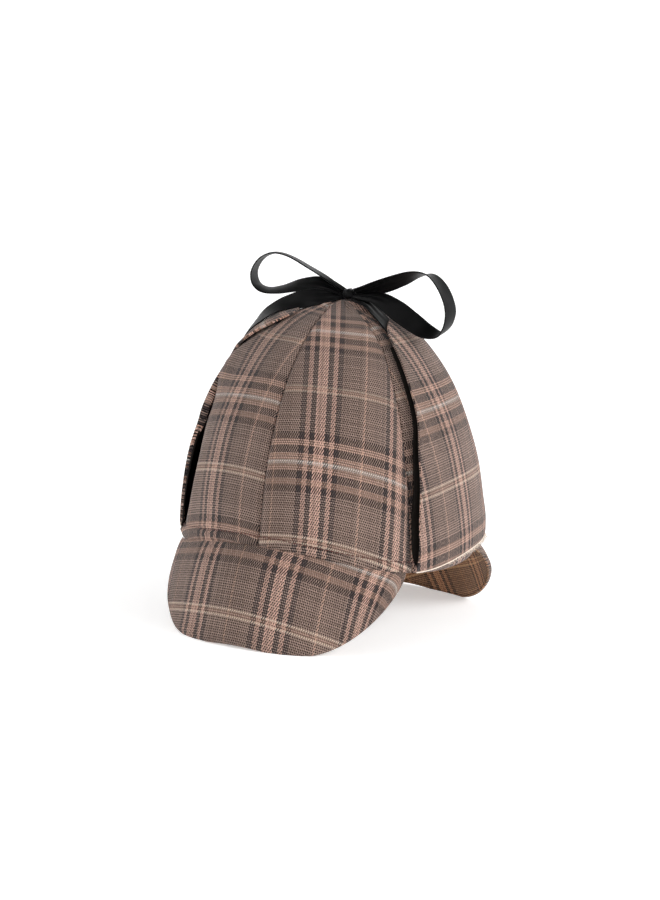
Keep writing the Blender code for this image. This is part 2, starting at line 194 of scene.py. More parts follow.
@dataclass(frozen=True)
class Dome:
    """The crown's egg-shaped form on an oval rim that rises at the front and at the back."""

    half_length: float = 96.0
    half_width: float = 86.0
    side_height: float = 35.0
    rise_front: float = 16.0
    rise_rear: float = 9.6
    rise_power: float = 3.1
    top_height: float = 178.3
    fullness: float = 0.952
    top_rise: float = 89.0
    probe: float = 0.2

    def rim(self, angle: Array) -> Array:
        """Points on the rim's outer edge.

        Args:
            angle: angles around the crown.

        Returns:
            Rows of x, y and z.
        """
        turn = np.radians(angle)
        cosine = np.cos(turn)
        lift = np.where(cosine > 0, self.rise_front, self.rise_rear)
        height = self.side_height + lift * np.abs(cosine) ** self.rise_power
        return np.stack([self.half_width * np.sin(turn), -self.half_length * cosine, height], -1)

    def point(self, angle: Array, rise: Array) -> Array:
        """Points on the smooth dome.

        Args:
            angle: angles around the crown.
            rise: rises from the rim.

        Returns:
            Rows of x, y and z.
        """
        angle, rise = np.broadcast_arrays(np.asarray(angle, float), np.asarray(rise, float))
        foot = self.rim(angle)
        spread = np.maximum(np.cos(np.radians(rise)), 0.0) ** self.fullness
        height = foot[..., 2] + (self.top_height - foot[..., 2]) * np.sin(np.radians(rise))
        return np.stack([foot[..., 0] * spread, foot[..., 1] * spread, height], -1)

    def outward(self, angle: Array, rise: Array) -> Array:
        """Directions that point straight out of the dome.

        Args:
            angle: angles around the crown.
            rise: rises from the rim.

        Returns:
            Rows of length one.
        """
        step, rise = self.probe, np.minimum(rise, self.top_rise)
        along = self.point(angle, rise + step) - self.point(angle, rise - step)
        around = self.point(angle + step, rise) - self.point(angle - step, rise)
        return unit(np.cross(around, along))

    def above(self, angle: Array, rise: Array, height: Array) -> Array:
        """Points at a height above the dome, or below it where the height is negative."""
        height = np.asarray(height, float)[..., None]
        return self.point(angle, rise) + self.outward(angle, rise) * height

    def flat_place(self, middle: float, angle: Array, rise: Array) -> tuple[Array, Array]:
        """Place of a point on a gore that is cut flat around a middle line.

        Args:
            middle: angle of the gore's middle line.
            angle: angles of the points.
            rise: rises of the points.

        Returns:
            Distances across from the middle line and up from the rim, in centimetres.
        """
        way = self.point(middle + (angle - middle) * WALK, rise + 0 * WALK)
        across = steps(way).sum(0) * np.sign(angle - middle)
        half_degrees = np.linspace(0, 90, 181)
        up = np.interp(rise, half_degrees, walked(self.point(middle, half_degrees)))
        return across / 10, up / 10


DOME = Dome()


@dataclass(frozen=True)
class CheckLie:
    """How the woven check lies on a piece, from its distances across and up in centimetres."""

    across_shift: float = 0.0
    across_ease: float = 1.0
    across_lean: float = 0.0
    up_shift: float = 0.0
    up_ease: float = 1.0
    up_skew: float = 0.0
    up_bow: float = 0.0
    up_draw: float = 0.0

    def place(self, across: Array, up: Array) -> Array:
        """Place in the uncut cloth.

        Args:
            across: distances across the piece.
            up: distances up the piece.

        Returns:
            Rows of centimetres along the weft and along the warp.
        """
        weft = self.across_shift + self.across_ease * across + self.across_lean * up
        warp = self.up_shift + self.up_ease * up + self.up_skew * across
        warp = warp + self.up_bow * across**2 + self.up_draw * up**2
        return np.stack([weft, warp], -1)


# ---- flat pads and formed pieces


@dataclass(frozen=True)
class Pad:
    """A flat piece of cloth with rounded edges, before it is formed. Sizes are millimetres."""

    width: float
    length: float
    wall: float
    cell: float = 1.3
    rounding: float = 0.45
    round_steps: int = 2

    def build(self) -> Mesh:
        """Make the closed flat mesh.

        Returns:
            The mesh: x across, y along, and z from the outer to the inner face.
        """
        mesh = bmesh.new()
        columns, rows = (max(1, round(size / self.cell)) for size in (self.width, self.length))
        bmesh.ops.create_grid(mesh, x_segments=columns, y_segments=rows, size=0.5)
        bmesh.ops.translate(mesh, vec=(0.5, 0.5, 0), verts=mesh.verts)
        bmesh.ops.scale(mesh, vec=(self.width, self.length, 1), verts=mesh.verts)
        twin = bmesh.ops.extrude_face_region(mesh, geom=mesh.faces[:], use_keep_orig=True)
        inner = [item for item in twin["geom"] if isinstance(item, bmesh.types.BMVert)]
        bmesh.ops.translate(mesh, vec=(0, 0, self.wall), verts=inner)
        bmesh.ops.recalc_face_normals(mesh, faces=mesh.faces)
        rim = [edge for edge in mesh.edges if self.is_rim(edge)]
        bmesh.ops.bevel(
            mesh, geom=rim, offset=self.wall * self.rounding, segments=self.round_steps,
            profile=0.5, affect="EDGES", material=-1, clamp_overlap=True,
        )
        return mesh

    def is_rim(self, edge: bmesh.types.BMEdge) -> bool:
        """Whether an edge lies between a face of the cloth and its cut edge."""
        level = abs(edge.verts[0].co.z - edge.verts[1].co.z) < self.wall / 2
        return level and len(edge.link_faces) == 2 and edge.calc_face_angle() > 1


def close_outwards(mesh: Mesh) -> None:
    """Turn all faces of a closed mesh to point out of it.

    Args:
        mesh: the mesh.
    """
    bmesh.ops.recalc_face_normals(mesh, faces=mesh.faces)
    if mesh.calc_volume(signed=True) < 0:
        bmesh.ops.reverse_faces(mesh, faces=mesh.faces)


def add_object(name: str, mesh: Mesh, finishes: Sequence[Material]) -> Object:
    """Put a finished mesh, which is in place in metres, in the scene.

    Args:
        name: the piece's name.
        mesh: its geometry, which is used up.
        finishes: its materials.

    Returns:
        The new object at the origin.
    """
    data = bpy.data.meshes.new(name)
    mesh.to_mesh(data)
    mesh.free()
    data.shade_smooth()
    for finish in finishes:
        data.materials.append(finish)
    piece = bpy.data.objects.new(name, data)
    bpy.context.scene.collection.objects.link(piece)
    return piece


def settle(piece: Object, slot: Slot, *nodes: str) -> None:
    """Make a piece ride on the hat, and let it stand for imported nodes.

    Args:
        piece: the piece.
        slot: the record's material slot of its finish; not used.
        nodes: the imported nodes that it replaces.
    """
    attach(piece, BODY)
    if nodes:
        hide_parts(*nodes)
    LOG.info("%s: %d faces, for %s", piece.name, len(piece.data.polygons), nodes or "trim")


class Shape:
    """A piece that is formed from a flat pad, at shares across, along and through it."""

    def form(self, across: Array, along: Array, depth: Array) -> Array:
        """Where points of the pad lie on the upright hat.

        Args:
            across: shares across the pad.
            along: shares along the pad.
            depth: shares through the pad, from its outer face.

        Returns:
            Rows of x, y and z in millimetres.
        """
        raise NotImplementedError

    def lay(self, across: Array, along: Array) -> Array:
        """Where points of the pad lie in the uncut cloth.

        Args:
            across: shares across the pad.
            along: shares along the pad.

        Returns:
            Rows of centimetres along the weft and along the warp.
        """
        raise NotImplementedError

    def make(self, name: str, pad: Pad, slot: Slot, node: str, *finishes: Material) -> Object:
        """Form a flat pad on the hat.

        Args:
            name: the piece's name.
            pad: the flat piece.
            slot: the record's material slot of its finish.
            node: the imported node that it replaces.
            finishes: finish of the outer face, and of the inner face if that differs.

        Returns:
            The formed piece, with the places in the cloth as its UV map, in metres.
        """
        mesh = pad.build()
        shares = np.clip(vert_rows(mesh) / (pad.width, pad.length, pad.wall), 0, 1)
        across, along, depth = shares.T
        cloth = self.lay(across, along) / 100
        cloth_map = mesh.loops.layers.uv.new("cloth")
        STAND.seat(mesh, self.form(across, along, depth))
        mesh.verts.index_update()
        inner_depth = 0.6
        for face in mesh.faces:
            corners = [loop.vert.index for loop in face.loops]
            # Inner faces take the second finish; on the check cloth that is the copy with painted warm
            # bounce light and shade.
            face.material_index = int(len(finishes) > 1 and depth[corners].mean() > inner_depth)
            for loop, corner in zip(face.loops, corners):
                loop[cloth_map].uv = cloth[corner]
        close_outwards(mesh)
        piece = add_object(name, mesh, finishes)
        settle(piece, slot, node)
        return piece


# ---- shader nodes


class Graph:
    """Short hand for adding and linking the nodes of one tree."""

    def __init__(self, tree: bpy.types.NodeTree) -> None:
        """Start on the node tree of a material or a group."""
        self.tree = tree

    def feed(self, node: bpy.types.Node, inputs: dict) -> bpy.types.Node:
        """Link sockets to a node's inputs, or set their values.

        Args:
            node: the node.
            inputs: sockets or values by the input's name or number.

        Returns:
            The same node.
        """
        for name, value in inputs.items():
            if isinstance(value, Socket):
                self.tree.links.new(value, node.inputs[name])
            else:
                node.inputs[name].default_value = value
        return node

    def add(self, kind: str, inputs: dict | None = None, **settings: object) -> bpy.types.Node:
        """Add a node.

        Args:
            kind: the node's type.
            inputs: sockets or values by the input's name or number.
            settings: the node's own properties.

        Returns:
            The new node.
        """
        node = self.tree.nodes.new(kind)
        for name, value in settings.items():
            setattr(node, name, value)
        return self.feed(node, inputs or {})

    def group(self, name: str, inputs: dict) -> bpy.types.bpy_prop_collection:
        """Outputs of a group that is already made, placed here with its own inputs."""
        return self.add("ShaderNodeGroup", inputs, node_tree=bpy.data.node_groups[name]).outputs

    def math(self, operation: str, *values: object) -> Socket:
        """Result of a Math node on sockets or numbers."""
        return self.add("ShaderNodeMath", dict(enumerate(values)), operation=operation).outputs[0]

    def pick(self, share: Socket, first: Socket, second: Socket) -> Socket:
        """Number between two numbers, which a Mix node takes at its inputs 2 and 3."""
        return self.add("ShaderNodeMix", {0: share, 2: first, 3: second}).outputs[0]

    def mix(self, share: object, first: object, second: object, blend: str = "MIX") -> Socket:
        """Colour between two colours, which it takes at 6 and 7, or another blend of them."""
        colours = {0: share, 6: first, 7: second}
        return self.add("ShaderNodeMix", colours, data_type="RGBA", blend_type=blend).outputs[2]

    def split(self, vector: Socket) -> list[Socket]:
        """The X, Y and Z of a vector."""
        return list(self.add("ShaderNodeSeparateXYZ", {0: vector}).outputs)

    def join(self, *parts: object) -> Socket:
        """Colour of a red, a green and a blue part."""
        return self.add("ShaderNodeCombineColor", dict(enumerate(parts))).outputs[0]

    def cloth(self) -> Socket:
        """Places in the uncut cloth, in metres, from the piece's own map."""
        return self.add("ShaderNodeUVMap", uv_map="cloth").outputs[0]

    def mottled(self, colour: Triple, amount: float, specks: float) -> Socket:
        """Colour with uneven tone by Object coordinates.

        Args:
            colour: its even colour.
            amount: how far broad patches differ from it.
            specks: how far small specks differ from it.

        Returns:
            The colour's socket.
        """
        place = self.add("ShaderNodeTexCoord").outputs["Object"]
        factor = self.group("Mottle", {"Place": place, "Amount": amount, "Specks": specks})[0]
        return self.join(*[self.math("MULTIPLY", factor, part) for part in colour])

    def ramp(self, share: Socket, stops: Sequence[tuple[float, Triple]]) -> Socket:
        """Colour of a ramp with sharp steps.

        Args:
            share: where on the ramp, from 0 to 1.
            stops: places and linear colours, at most 32.

        Returns:
            The colour's socket.
        """
        node = self.add("ShaderNodeValToRGB", {0: share})
        node.color_ramp.interpolation = "CONSTANT"
        elements = node.color_ramp.elements
        while len(elements) < len(stops):
            elements.new(1.0)
        for element, (place, colour) in zip(elements, stops):
            element.position, element.color = place, (*colour, 1.0)
        return node.outputs[0]


def linear(red: int, green: int, blue: int) -> Triple:
    """Linear colour of a screen colour from 0 to 255."""
    shares = (value / 255 for value in (red, green, blue))
    return tuple(x / 12.92 if x <= 0.04045 else ((x + 0.055) / 1.055) ** 2.4 for x in shares)


@dataclass(frozen=True)
class NodeGroup:
    """A shader node group, which is built once and placed in the materials by its name."""

    def start(
        self, name: str, inputs: dict[str, object], outputs: dict[str, str]
    ) -> tuple[Graph, dict[str, Socket], bpy.types.Node]:
        """Start the group.

        Args:
            name: the group's name.
            inputs: the default of each number by its name, or None for a vector.
            outputs: Float or Color for each output by its name.

        Returns:
            The group's graph, its input sockets by name, and its output node.
        """
        tree = bpy.data.node_groups.new(name, "ShaderNodeTree")
        for label, default in inputs.items():
            kind = "NodeSocketVector" if default is None else "NodeSocketFloat"
            socket = tree.interface.new_socket(name=label, in_out="INPUT", socket_type=kind)
            if default is not None:
                socket.default_value = default
        for label, kind in outputs.items():
            kind = f"NodeSocket{kind}"
            tree.interface.new_socket(name=label, in_out="OUTPUT", socket_type=kind)
        graph = Graph(tree)
        entry = graph.add("NodeGroupInput")
        given = {label: entry.outputs[label] for label in inputs}
        return graph, given, graph.add("NodeGroupOutput")


@dataclass(frozen=True)
class Mottle(NodeGroup):
    """Uneven tone that handling, dye and light wear leave on any of the cloths."""

    patch: float = 26.0
    speck: float = 420.0

    def build(self) -> None:
        """Make the group: it gives a factor around one from Object coordinates."""
        defaults = {"Place": None, "Amount": 0.1, "Specks": 0.05}
        graph, given, result = self.start("Mottle", defaults, {"Factor": "Float"})
        total = 1.0
        for scale, amount in ((self.patch, "Amount"), (self.speck, "Specks")):
            inputs = {"Vector": given["Place"], "Scale": scale, "Detail": 2.0}
            noise = graph.add("ShaderNodeTexNoise", inputs).outputs[0]
            centred = graph.math("MULTIPLY", graph.math("SUBTRACT", noise, 0.5), 2.0)
            total = graph.math("MULTIPLY_ADD", centred, given[amount], total)
        graph.feed(result, {"Factor": total})


@dataclass(frozen=True)
class Twill(NodeGroup):
    """Two-up, two-down twill. Pitches are the millimetres from thread to thread."""

    warp_pitch: float = 0.33
    weft_pitch: float = 0.66
    repeat: float = 4.0

    def build(self) -> None:
        """Make the group: which thread is on top, how high it stands, and its own tone."""
        labels = ("Warp On Top", "Relief", "Tone", "Warp Turn", "Weft Turn")
        graph, given, result = self.start("Twill", {"Cloth": None}, dict.fromkeys(labels, "Float"))
        counts, rounds, tones, turns = [], [], [], []
        for way, pitch in zip(graph.split(given["Cloth"]), (self.warp_pitch, self.weft_pitch)):
            threads = graph.math("MULTIPLY", way, 1 / (pitch * MM))
            count = graph.math("FLOOR", threads)
            half_turns = graph.math("MULTIPLY", graph.math("FRACT", threads), math.pi)
            noise = graph.add("ShaderNodeTexWhiteNoise", {"W": count}, noise_dimensions="1D")
            counts.append(count)
            rounds.append(graph.math("SINE", half_turns))
            tones.append(noise.outputs[0])
            turns.append(graph.math("FLOORED_MODULO", count, 2.0))
        step = graph.math("FLOORED_MODULO", graph.math("SUBTRACT", *counts), self.repeat)
        on_top = graph.math("LESS_THAN", step, self.repeat / 2 - 0.5)
        relief, tone = (graph.pick(on_top, weft, warp) for warp, weft in (rounds, tones))
        graph.feed(result, dict(zip(labels, (on_top, relief, tone, *turns))))


# Yarns of the check as screen colours in daylight: the first and the second of two threads that
# take turns.
YARNS = {
    "ground_warp": ((178, 151, 139), (104, 84, 75)),
    "ground_weft": ((28, 17, 14), (178, 152, 140)),
    "tan_warp": ((230, 190, 174), (202, 160, 142)),
    "tan_weft": ((140, 104, 86), (212, 174, 156)),
    "dark_warp": ((66, 56, 56), (94, 82, 80)),
    "dark_weft": ((32, 26, 27), (54, 46, 45)),
    "pale": ((244, 223, 202), (216, 193, 172)),
    "thin_warp": ((206, 170, 150), (182, 146, 128)),
    "white": ((246, 236, 228), (214, 200, 190)),
}

# Stripes from the middle of a group outwards: half width (cm) and yarn. What is left up to half of
# the repeat is ground, and the lines there are measured from that middle.
WARP_STRIPES = (
    (0.285, "tan_warp"), (0.575, "dark_warp"), (0.835, "tan_warp"), (1.125, "dark_warp"),
)
WEFT_STRIPES = (
    (0.11, "white"), (0.515, "tan_weft"), (0.935, "dark_weft"), (1.315, "tan_weft"),
    (1.735, "dark_weft"),
)
WARP_LINES = ((0.05, "thin_warp"),)
WEFT_LINES = ((0.13, "tan_weft"), (0.22, "pale"))


@dataclass(frozen=True)
class Stripes:
    """The coloured yarns of one direction of the check."""

    repeat: float
    group: tuple[tuple[float, str], ...]
    lines: tuple[tuple[float, str], ...]
    ground: str

    def stops(self, turn: int) -> list[tuple[float, Triple]]:
        """Ramp stops over one repeat, from the middle of the group.

        Args:
            turn: which of the two threads that take turns.

        Returns:
            Places from 0 to 1 and linear colours.
        """
        middle = self.repeat / 2
        half = [(0.0, self.group[0][1])]
        half += [(edge, yarn) for (edge, _), (_, yarn) in zip(self.group, self.group[1:])]
        half.append((self.group[-1][0], self.ground))
        half += [(middle - edge, yarn) for edge, yarn in reversed(self.lines)]
        ends = [place for place, _ in half[1:]] + [middle]
        back = [(self.repeat - end, yarn) for end, (_, yarn) in zip(ends[::-1], half[::-1])]
        return [
            (place / self.repeat, linear(*YARNS[yarn][turn])) for place, yarn in half + back[1:]
        ]


@dataclass(frozen=True)
class CheckWeave(NodeGroup):
    """The check: striped warp and weft threads in a twill, with painted shade between and under the
    threads.
    """

    warp: Stripes = Stripes(5.05, WARP_STRIPES, WARP_LINES, "ground_warp")
    weft: Stripes = Stripes(8.81, WEFT_STRIPES, WEFT_LINES, "ground_weft")
    hollow_shade: float = 0.8
    tone_spread: float = 0.7
    float_shade_gain: float = 0.24

    def build(self) -> None:
        """Make the group: the colour of the cloth with its painted thread shading, and the height of
        its threads.
        """
        outputs = {"Colour": "Color", "Relief": "Float"}
        graph, given, result = self.start("Check weave", {"Cloth": None}, outputs)
        twill = graph.group("Twill", {"Cloth": given["Cloth"]})
        turns = (twill["Warp Turn"], twill["Weft Turn"])
        colours = []
        for way, turn, stripes in zip(graph.split(given["Cloth"]), turns, (self.warp, self.weft)):
            place = graph.math("FRACT", graph.math("MULTIPLY", way, 100 / stripes.repeat))
            threads = [graph.ramp(place, stripes.stops(number)) for number in range(2)]
            colours.append(graph.mix(turn, *threads))
        thread = graph.mix(twill["Warp On Top"], colours[1], colours[0])
        # Painted shade: darker in the hollows between threads, and the weft darker than the raised warp
        # floats.
        lit, tone, float_shade = (
            graph.math("MULTIPLY_ADD", twill[label], gain, 1 - gain * share)
            for label, gain, share in (
                ("Relief", self.hollow_shade, 1),
                ("Tone", self.tone_spread, 0.5),
                ("Warp On Top", self.float_shade_gain, 0.5),
            )
        )
        shade = graph.math("MULTIPLY", graph.math("MULTIPLY", lit, tone), float_shade)
        colour = graph.mix(1.0, thread, graph.join(shade, shade, shade), "MULTIPLY")
        graph.feed(result, {"Colour": colour, "Relief": twill["Relief"]})


@dataclass(frozen=True)
class Finish:
    """A material whose looks come from nodes."""

    name: str

    def looks(self, graph: Graph) -> dict[str, object]:
        """What feeds the shader's inputs.

        Args:
            graph: the material's graph, which takes the nodes.

        Returns:
            Sockets or values by the input's name.
        """
        raise NotImplementedError

    def build(self) -> Material:
        """Make the material.

        Returns:
            The material.
        """
        material = bpy.data.materials.new(self.name)
        material.use_nodes = True
        graph = Graph(material.node_tree)
        graph.feed(material.node_tree.nodes["Principled BSDF"], self.looks(graph))
        return material


@dataclass(frozen=True)
class CheckCloth(Finish):
    """The check cloth, on its face, or on its back as a warm-tinted copy that paints bounce light and
    shade.
    """

    tint: Triple = (0.84, 0.84, 0.83)
    thread_height: float = 0.12

    def looks(self, graph: Graph) -> dict[str, object]:
        """The weave, its wear and its threads' relief; on the back, the tint also paints warm bounce
        light.

        Args:
            graph: the material's graph.

        Returns:
            Sockets or values by the input's name.
        """
        weave = graph.group("Check weave", {"Cloth": graph.cloth()})
        # The mottled tint is uneven wear, and on the back copy it also paints warm bounce light and
        # shade.
        wear = graph.mottled(self.tint, amount=0.16, specks=0.08)
        bump = {"Height": weave["Relief"], "Strength": 0.8, "Distance": self.thread_height * MM}
        return {
            "Base Color": graph.mix(1.0, weave["Colour"], wear, "MULTIPLY"),
            "Normal": graph.add("ShaderNodeBump", bump).outputs[0],
            "Roughness": 0.86,
            "Sheen Weight": 0.12,
            "Sheen Roughness": 0.5,
            "Specular IOR Level": 0.2,
        }


@dataclass(frozen=True)
class DarkCloth(Finish):
    """A dark cloth with fine ribs across: the lining and the satin ribbon."""

    colour: Triple
    roughness: float
    sheen: float
    rib_pitch: float
    rib_height: float
    crease_height: float
    gloss: float

    def looks(self, graph: Graph) -> dict[str, object]:
        """Uneven tone, ribs, and creases that run along the cloth.

        Args:
            graph: the material's graph.

        Returns:
            Sockets or values by the input's name.
        """
        cloth = graph.cloth()
        turns = graph.math("MULTIPLY", graph.split(cloth)[1], math.tau / (self.rib_pitch * MM))
        ribs = graph.math("MULTIPLY", graph.math("SINE", turns), self.rib_height)
        stretch = {"Vector": cloth, "Scale": (1.0, 0.12, 1.0)}
        stretched = graph.add("ShaderNodeMapping", stretch).outputs[0]
        noise = {"Vector": stretched, "Scale": 900.0, "Detail": 3.0}
        creases = graph.add("ShaderNodeTexNoise", noise).outputs[0]
        height = graph.math("MULTIPLY_ADD", creases, self.crease_height, ribs)
        bump = {"Height": height, "Strength": 1.0, "Distance": MM}
        return {
            "Base Color": graph.mottled(self.colour, amount=0.25, specks=0.2),
            "Roughness": graph.math("MULTIPLY_ADD", creases, 0.2, self.roughness - 0.1),
            "Normal": graph.add("ShaderNodeBump", bump).outputs[0],
            "Specular IOR Level": self.gloss,
            "Sheen Weight": self.sheen,
            "Sheen Roughness": 0.35,
        }


@dataclass(frozen=True)
class Yarn(Finish):
    """Single threads: stitches and frayed ends."""

    colour: Triple

    def looks(self, graph: Graph) -> dict[str, object]:
        """Uneven tone and a soft sheen."""
        colour = graph.mottled(self.colour, amount=0.1, specks=0.35)
        return {"Base Color": colour, "Roughness": 0.8, "Sheen Weight": 0.3}


@dataclass(frozen=True)
class Paper(Finish):
    """The studio's white floor, which glows a little."""

    tone: float = 0.9
    glow: float = 0.42

    def looks(self, graph: Graph) -> dict[str, object]:
        """Nearly even white.

        Args:
            graph: the material's graph.

        Returns:
            Sockets or values by the input's name.
        """
        return {
            "Base Color": graph.mottled((self.tone,) * 3, amount=0.004, specks=0.004),
            "Roughness": 0.9,
            "Emission Color": (1.0, 1.0, 1.0, 1.0),
            "Emission Strength": self.glow,
        }


@dataclass
class Wardrobe:
    """All finishes of the hat."""

    check: Material = field(init=False)
    check_back_painted_bounce: Material = field(init=False)
    lining: Material = field(init=False)
    satin: Material = field(init=False)
    stitch: Material = field(init=False)
    fray: Material = field(init=False)

    def __post_init__(self) -> None:
        """Make the node groups and the materials."""
        for group in (Mottle(), Twill(), CheckWeave()):
            group.build()
        self.check = CheckCloth("check_face").build()
        # The back is a copy of the face with a warm tint that paints the bounce light and shade under
        # the visors and inside the crown.
        self.check_back_painted_bounce = CheckCloth("check_back_painted_bounce", tint=(1.0, 0.76, 0.48)).build()
        self.lining = DarkCloth(
            "lining_cloth", (0.010, 0.008, 0.007), roughness=0.8, sheen=0.0, rib_pitch=0.4,
            rib_height=0.01, crease_height=0.05, gloss=0.04,
        ).build()
        self.satin = DarkCloth(
            "satin", (0.004, 0.004, 0.0042), roughness=0.4, sheen=0.01, rib_pitch=0.42,
            rib_height=0.012, crease_height=0.06, gloss=0.08,
        ).build()
        self.stitch = Yarn("stitching", linear(84, 38, 28)).build()
        self.fray = Yarn("frayed_yarn", linear(228, 212, 196)).build()


# ---- stitches and threads


@dataclass(frozen=True)
class Stitches:
    """A row of sewn stitches. Sizes are millimetres."""

    name: str
    finish: Material
    pitch: float = 3.0
    ends: tuple[float, float] = (0.08, 0.92)
    half_width: float = 0.32
    half_height: float = 0.3
    proud: float = 0.08

    def build(self, line: Array, normals: Array) -> None:
        """Sew the row along a line on the hat.

        Args:
            line: points that the row follows.
            normals: directions out of the cloth at those points.
        """
        walk = walked(line)
        mesh = bmesh.new()
        for number in range(int(walk[-1] / self.pitch)):
            first, last = ((number + share) * self.pitch for share in self.ends)
            start, end, normal = (
                Vector([np.interp(way, walk, column[:, axis]) for axis in range(3)])
                for way, column in ((first, line), (last, line), (first, normals))
            )
            along = end - start
            side = normal.cross(along).normalized()
            lift = along.cross(side).normalized()
            half = along.normalized() * (along.length / 2)
            axes = Matrix((side * self.half_width, half, lift * self.half_height))
            spot = axes.transposed().to_4x4()
            spot.translation = (start + end) / 2 + lift * self.proud
            bmesh.ops.create_uvsphere(mesh, u_segments=6, v_segments=5, radius=1.0, matrix=spot)
        STAND.seat(mesh)
        bmesh.ops.recalc_face_normals(mesh, faces=mesh.faces)
        settle(add_object(self.name, mesh, [self.finish]), Slot.CLOTH)


def add_strand(mesh: Mesh, path: Array, radius: float, sides: int) -> None:
    """Add a round thread along a path to a mesh.

    Args:
        mesh: the mesh that takes it, in millimetres.
        path: the points that it runs through.
        radius: half of its thickness.
        sides: how many sides it has.
    """
    turns = np.arange(sides) * math.tau / sides
    rings = []
    side = None
    for before, point, after in zip([path[0], *path], path, [*path[1:], path[-1]]):
        ahead = Vector(after - before).normalized()
        side = ahead.orthogonal() if side is None else side - ahead * side.dot(ahead)
        side.normalize()
        lift = ahead.cross(side)
        rings.append([
            mesh.verts.new(Vector(point) + (side * math.cos(turn) + lift * math.sin(turn)) * radius)
            for turn in turns
        ])
    for low, high in zip(rings, rings[1:]):
        for one, two in zip(range(sides), [*range(1, sides), 0]):
            mesh.faces.new((low[one], low[two], high[two], high[one]))
    mesh.faces.new(reversed(rings[0]))
    mesh.faces.new(rings[-1])


# ---- crown


@dataclass(frozen=True)
class Fold:
    """Soft ridge, or valley where its height is negative, between two places on the crown."""

    start: tuple[float, float]
    end: tuple[float, float]
    width: float
    height: float

    def lift(self, points: Array) -> Array:
        """Height that the fold adds, in millimetres.

        Args:
            points: points of the dome.

        Returns:
            One height for each point.
        """
        share = np.linspace(0, 1, 9)
        angles, rises = (
            first + (last - first) * share for first, last in zip(self.start, self.end)
        )
        spine = DOME.point(angles, rises)
        nearest = np.full(len(points), np.inf)
        for first, second in zip(spine, spine[1:]):
            way = second - first
            part = np.clip((points - first) @ way / (way @ way), 0, 1)
            gap = points - (first + part[:, None] * way)
            nearest = np.minimum(nearest, np.linalg.norm(gap, axis=1))
        return self.height * bell(nearest, self.width)


@dataclass(frozen=True)
class Hump:
    """A soft hump of a height at a place, fading beyond its width."""

    height: float
    place: float
    width: float

    def at(self, place: Array) -> Array:
        """Its height at other places."""
        return self.height * bell(place - self.place, self.width)


# What the crown's sides add to the smooth dome along the front edges of the flaps: rise, then
# height and how far it reaches to the front and to the back (mm).
SIDE_RELIEF = {
    Side.LEFT: (
        (0, -0.2, 8, 8), (5, -1.2, 10, 9), (12, -2.2, 11, 9), (24, -2.6, 11, 9), (34, -2.4, 10, 8),
        (44, -1.4, 9, 8), (54, -0.5, 9, 8), (64, 0, 9, 8), (90, 0, 9, 8),
    ),
    Side.RIGHT: (
        (0, -0.9, 12, 12), (3, -2.6, 14, 12), (6.5, -4.2, 16, 12), (10.5, -5.3, 17, 12),
        (15.5, -5.8, 17, 12), (20, -5.2, 16, 12), (24.5, -3.2, 13, 11), (29, -0.8, 10, 10),
        (34, 0.1, 10, 9), (38, 1.9, 12, 8), (42, 5.1, 14, 8), (45, 6.4, 14, 8), (48, 6.6, 15, 8),
        (51, 5.9, 16, 9), (54, 4.5, 18, 11), (57, 3.8, 20, 14), (62, 3.1, 22, 16),
        (67, 2.2, 22, 18), (72, 1.5, 22, 18), (78, 0.6, 22, 18), (90, 0, 22, 18),
    ),
}

# How the check lies on each gore. The columns are those of CheckLie, in its order.
CROWN_LIES = {
    "crown_front_right": CheckLie(-0.871, 1.008, 0.092, -8.553, 0.938, -0.029, 0.023, 0.006),
    "crown_front_left": CheckLie(1.508, 1.014, -0.034, -5.171, 0.968, 0.046, 0.028, 0.0038),
    "crown_side_left": CheckLie(0.6, 1.0, 0.0, -6.1, 1.0, 0.0, 0.02),
    "crown_side_right": CheckLie(-1.9, 1.0, 0.0, -2.7, 1.0, 0.0, 0.02),
    "crown_rear_left": CheckLie(2.1, 1.0, 0.02, -3.4, 1.0, 0.0, 0.02),
    "crown_rear_right": CheckLie(-0.4, 1.0, -0.02, -7.5, 1.0, 0.0, 0.02),
}

# Soft folds of the crown: angle and rise of each end, then width and height (mm).
CROWN_FOLDS = (
    Fold((-44.0, 6.0), (-40.0, 22.0), 7.0, 0.9),
    Fold((-20.0, 3.0), (-46.0, 3.5), 4.0, 0.5),
    Fold((50.0, 4.0), (44.0, 30.0), 8.0, 0.7),
    Fold((22.0, 40.0), (34.0, 60.0), 9.0, -0.5),
    Fold((-26.0, 46.0), (-38.0, 62.0), 9.0, -0.5),
    Fold((8.0, 66.0), (4.0, 84.0), 2.6, 0.5),
    Fold((-36.0, 68.0), (-44.0, 84.0), 3.0, 0.5),
    Fold((140.0, 20.0), (150.0, 46.0), 10.0, -0.7),
    Fold((-150.0, 24.0), (-138.0, 50.0), 10.0, -0.7),
    Fold((166.0, 8.0), (158.0, 24.0), 8.0, 0.6),
)


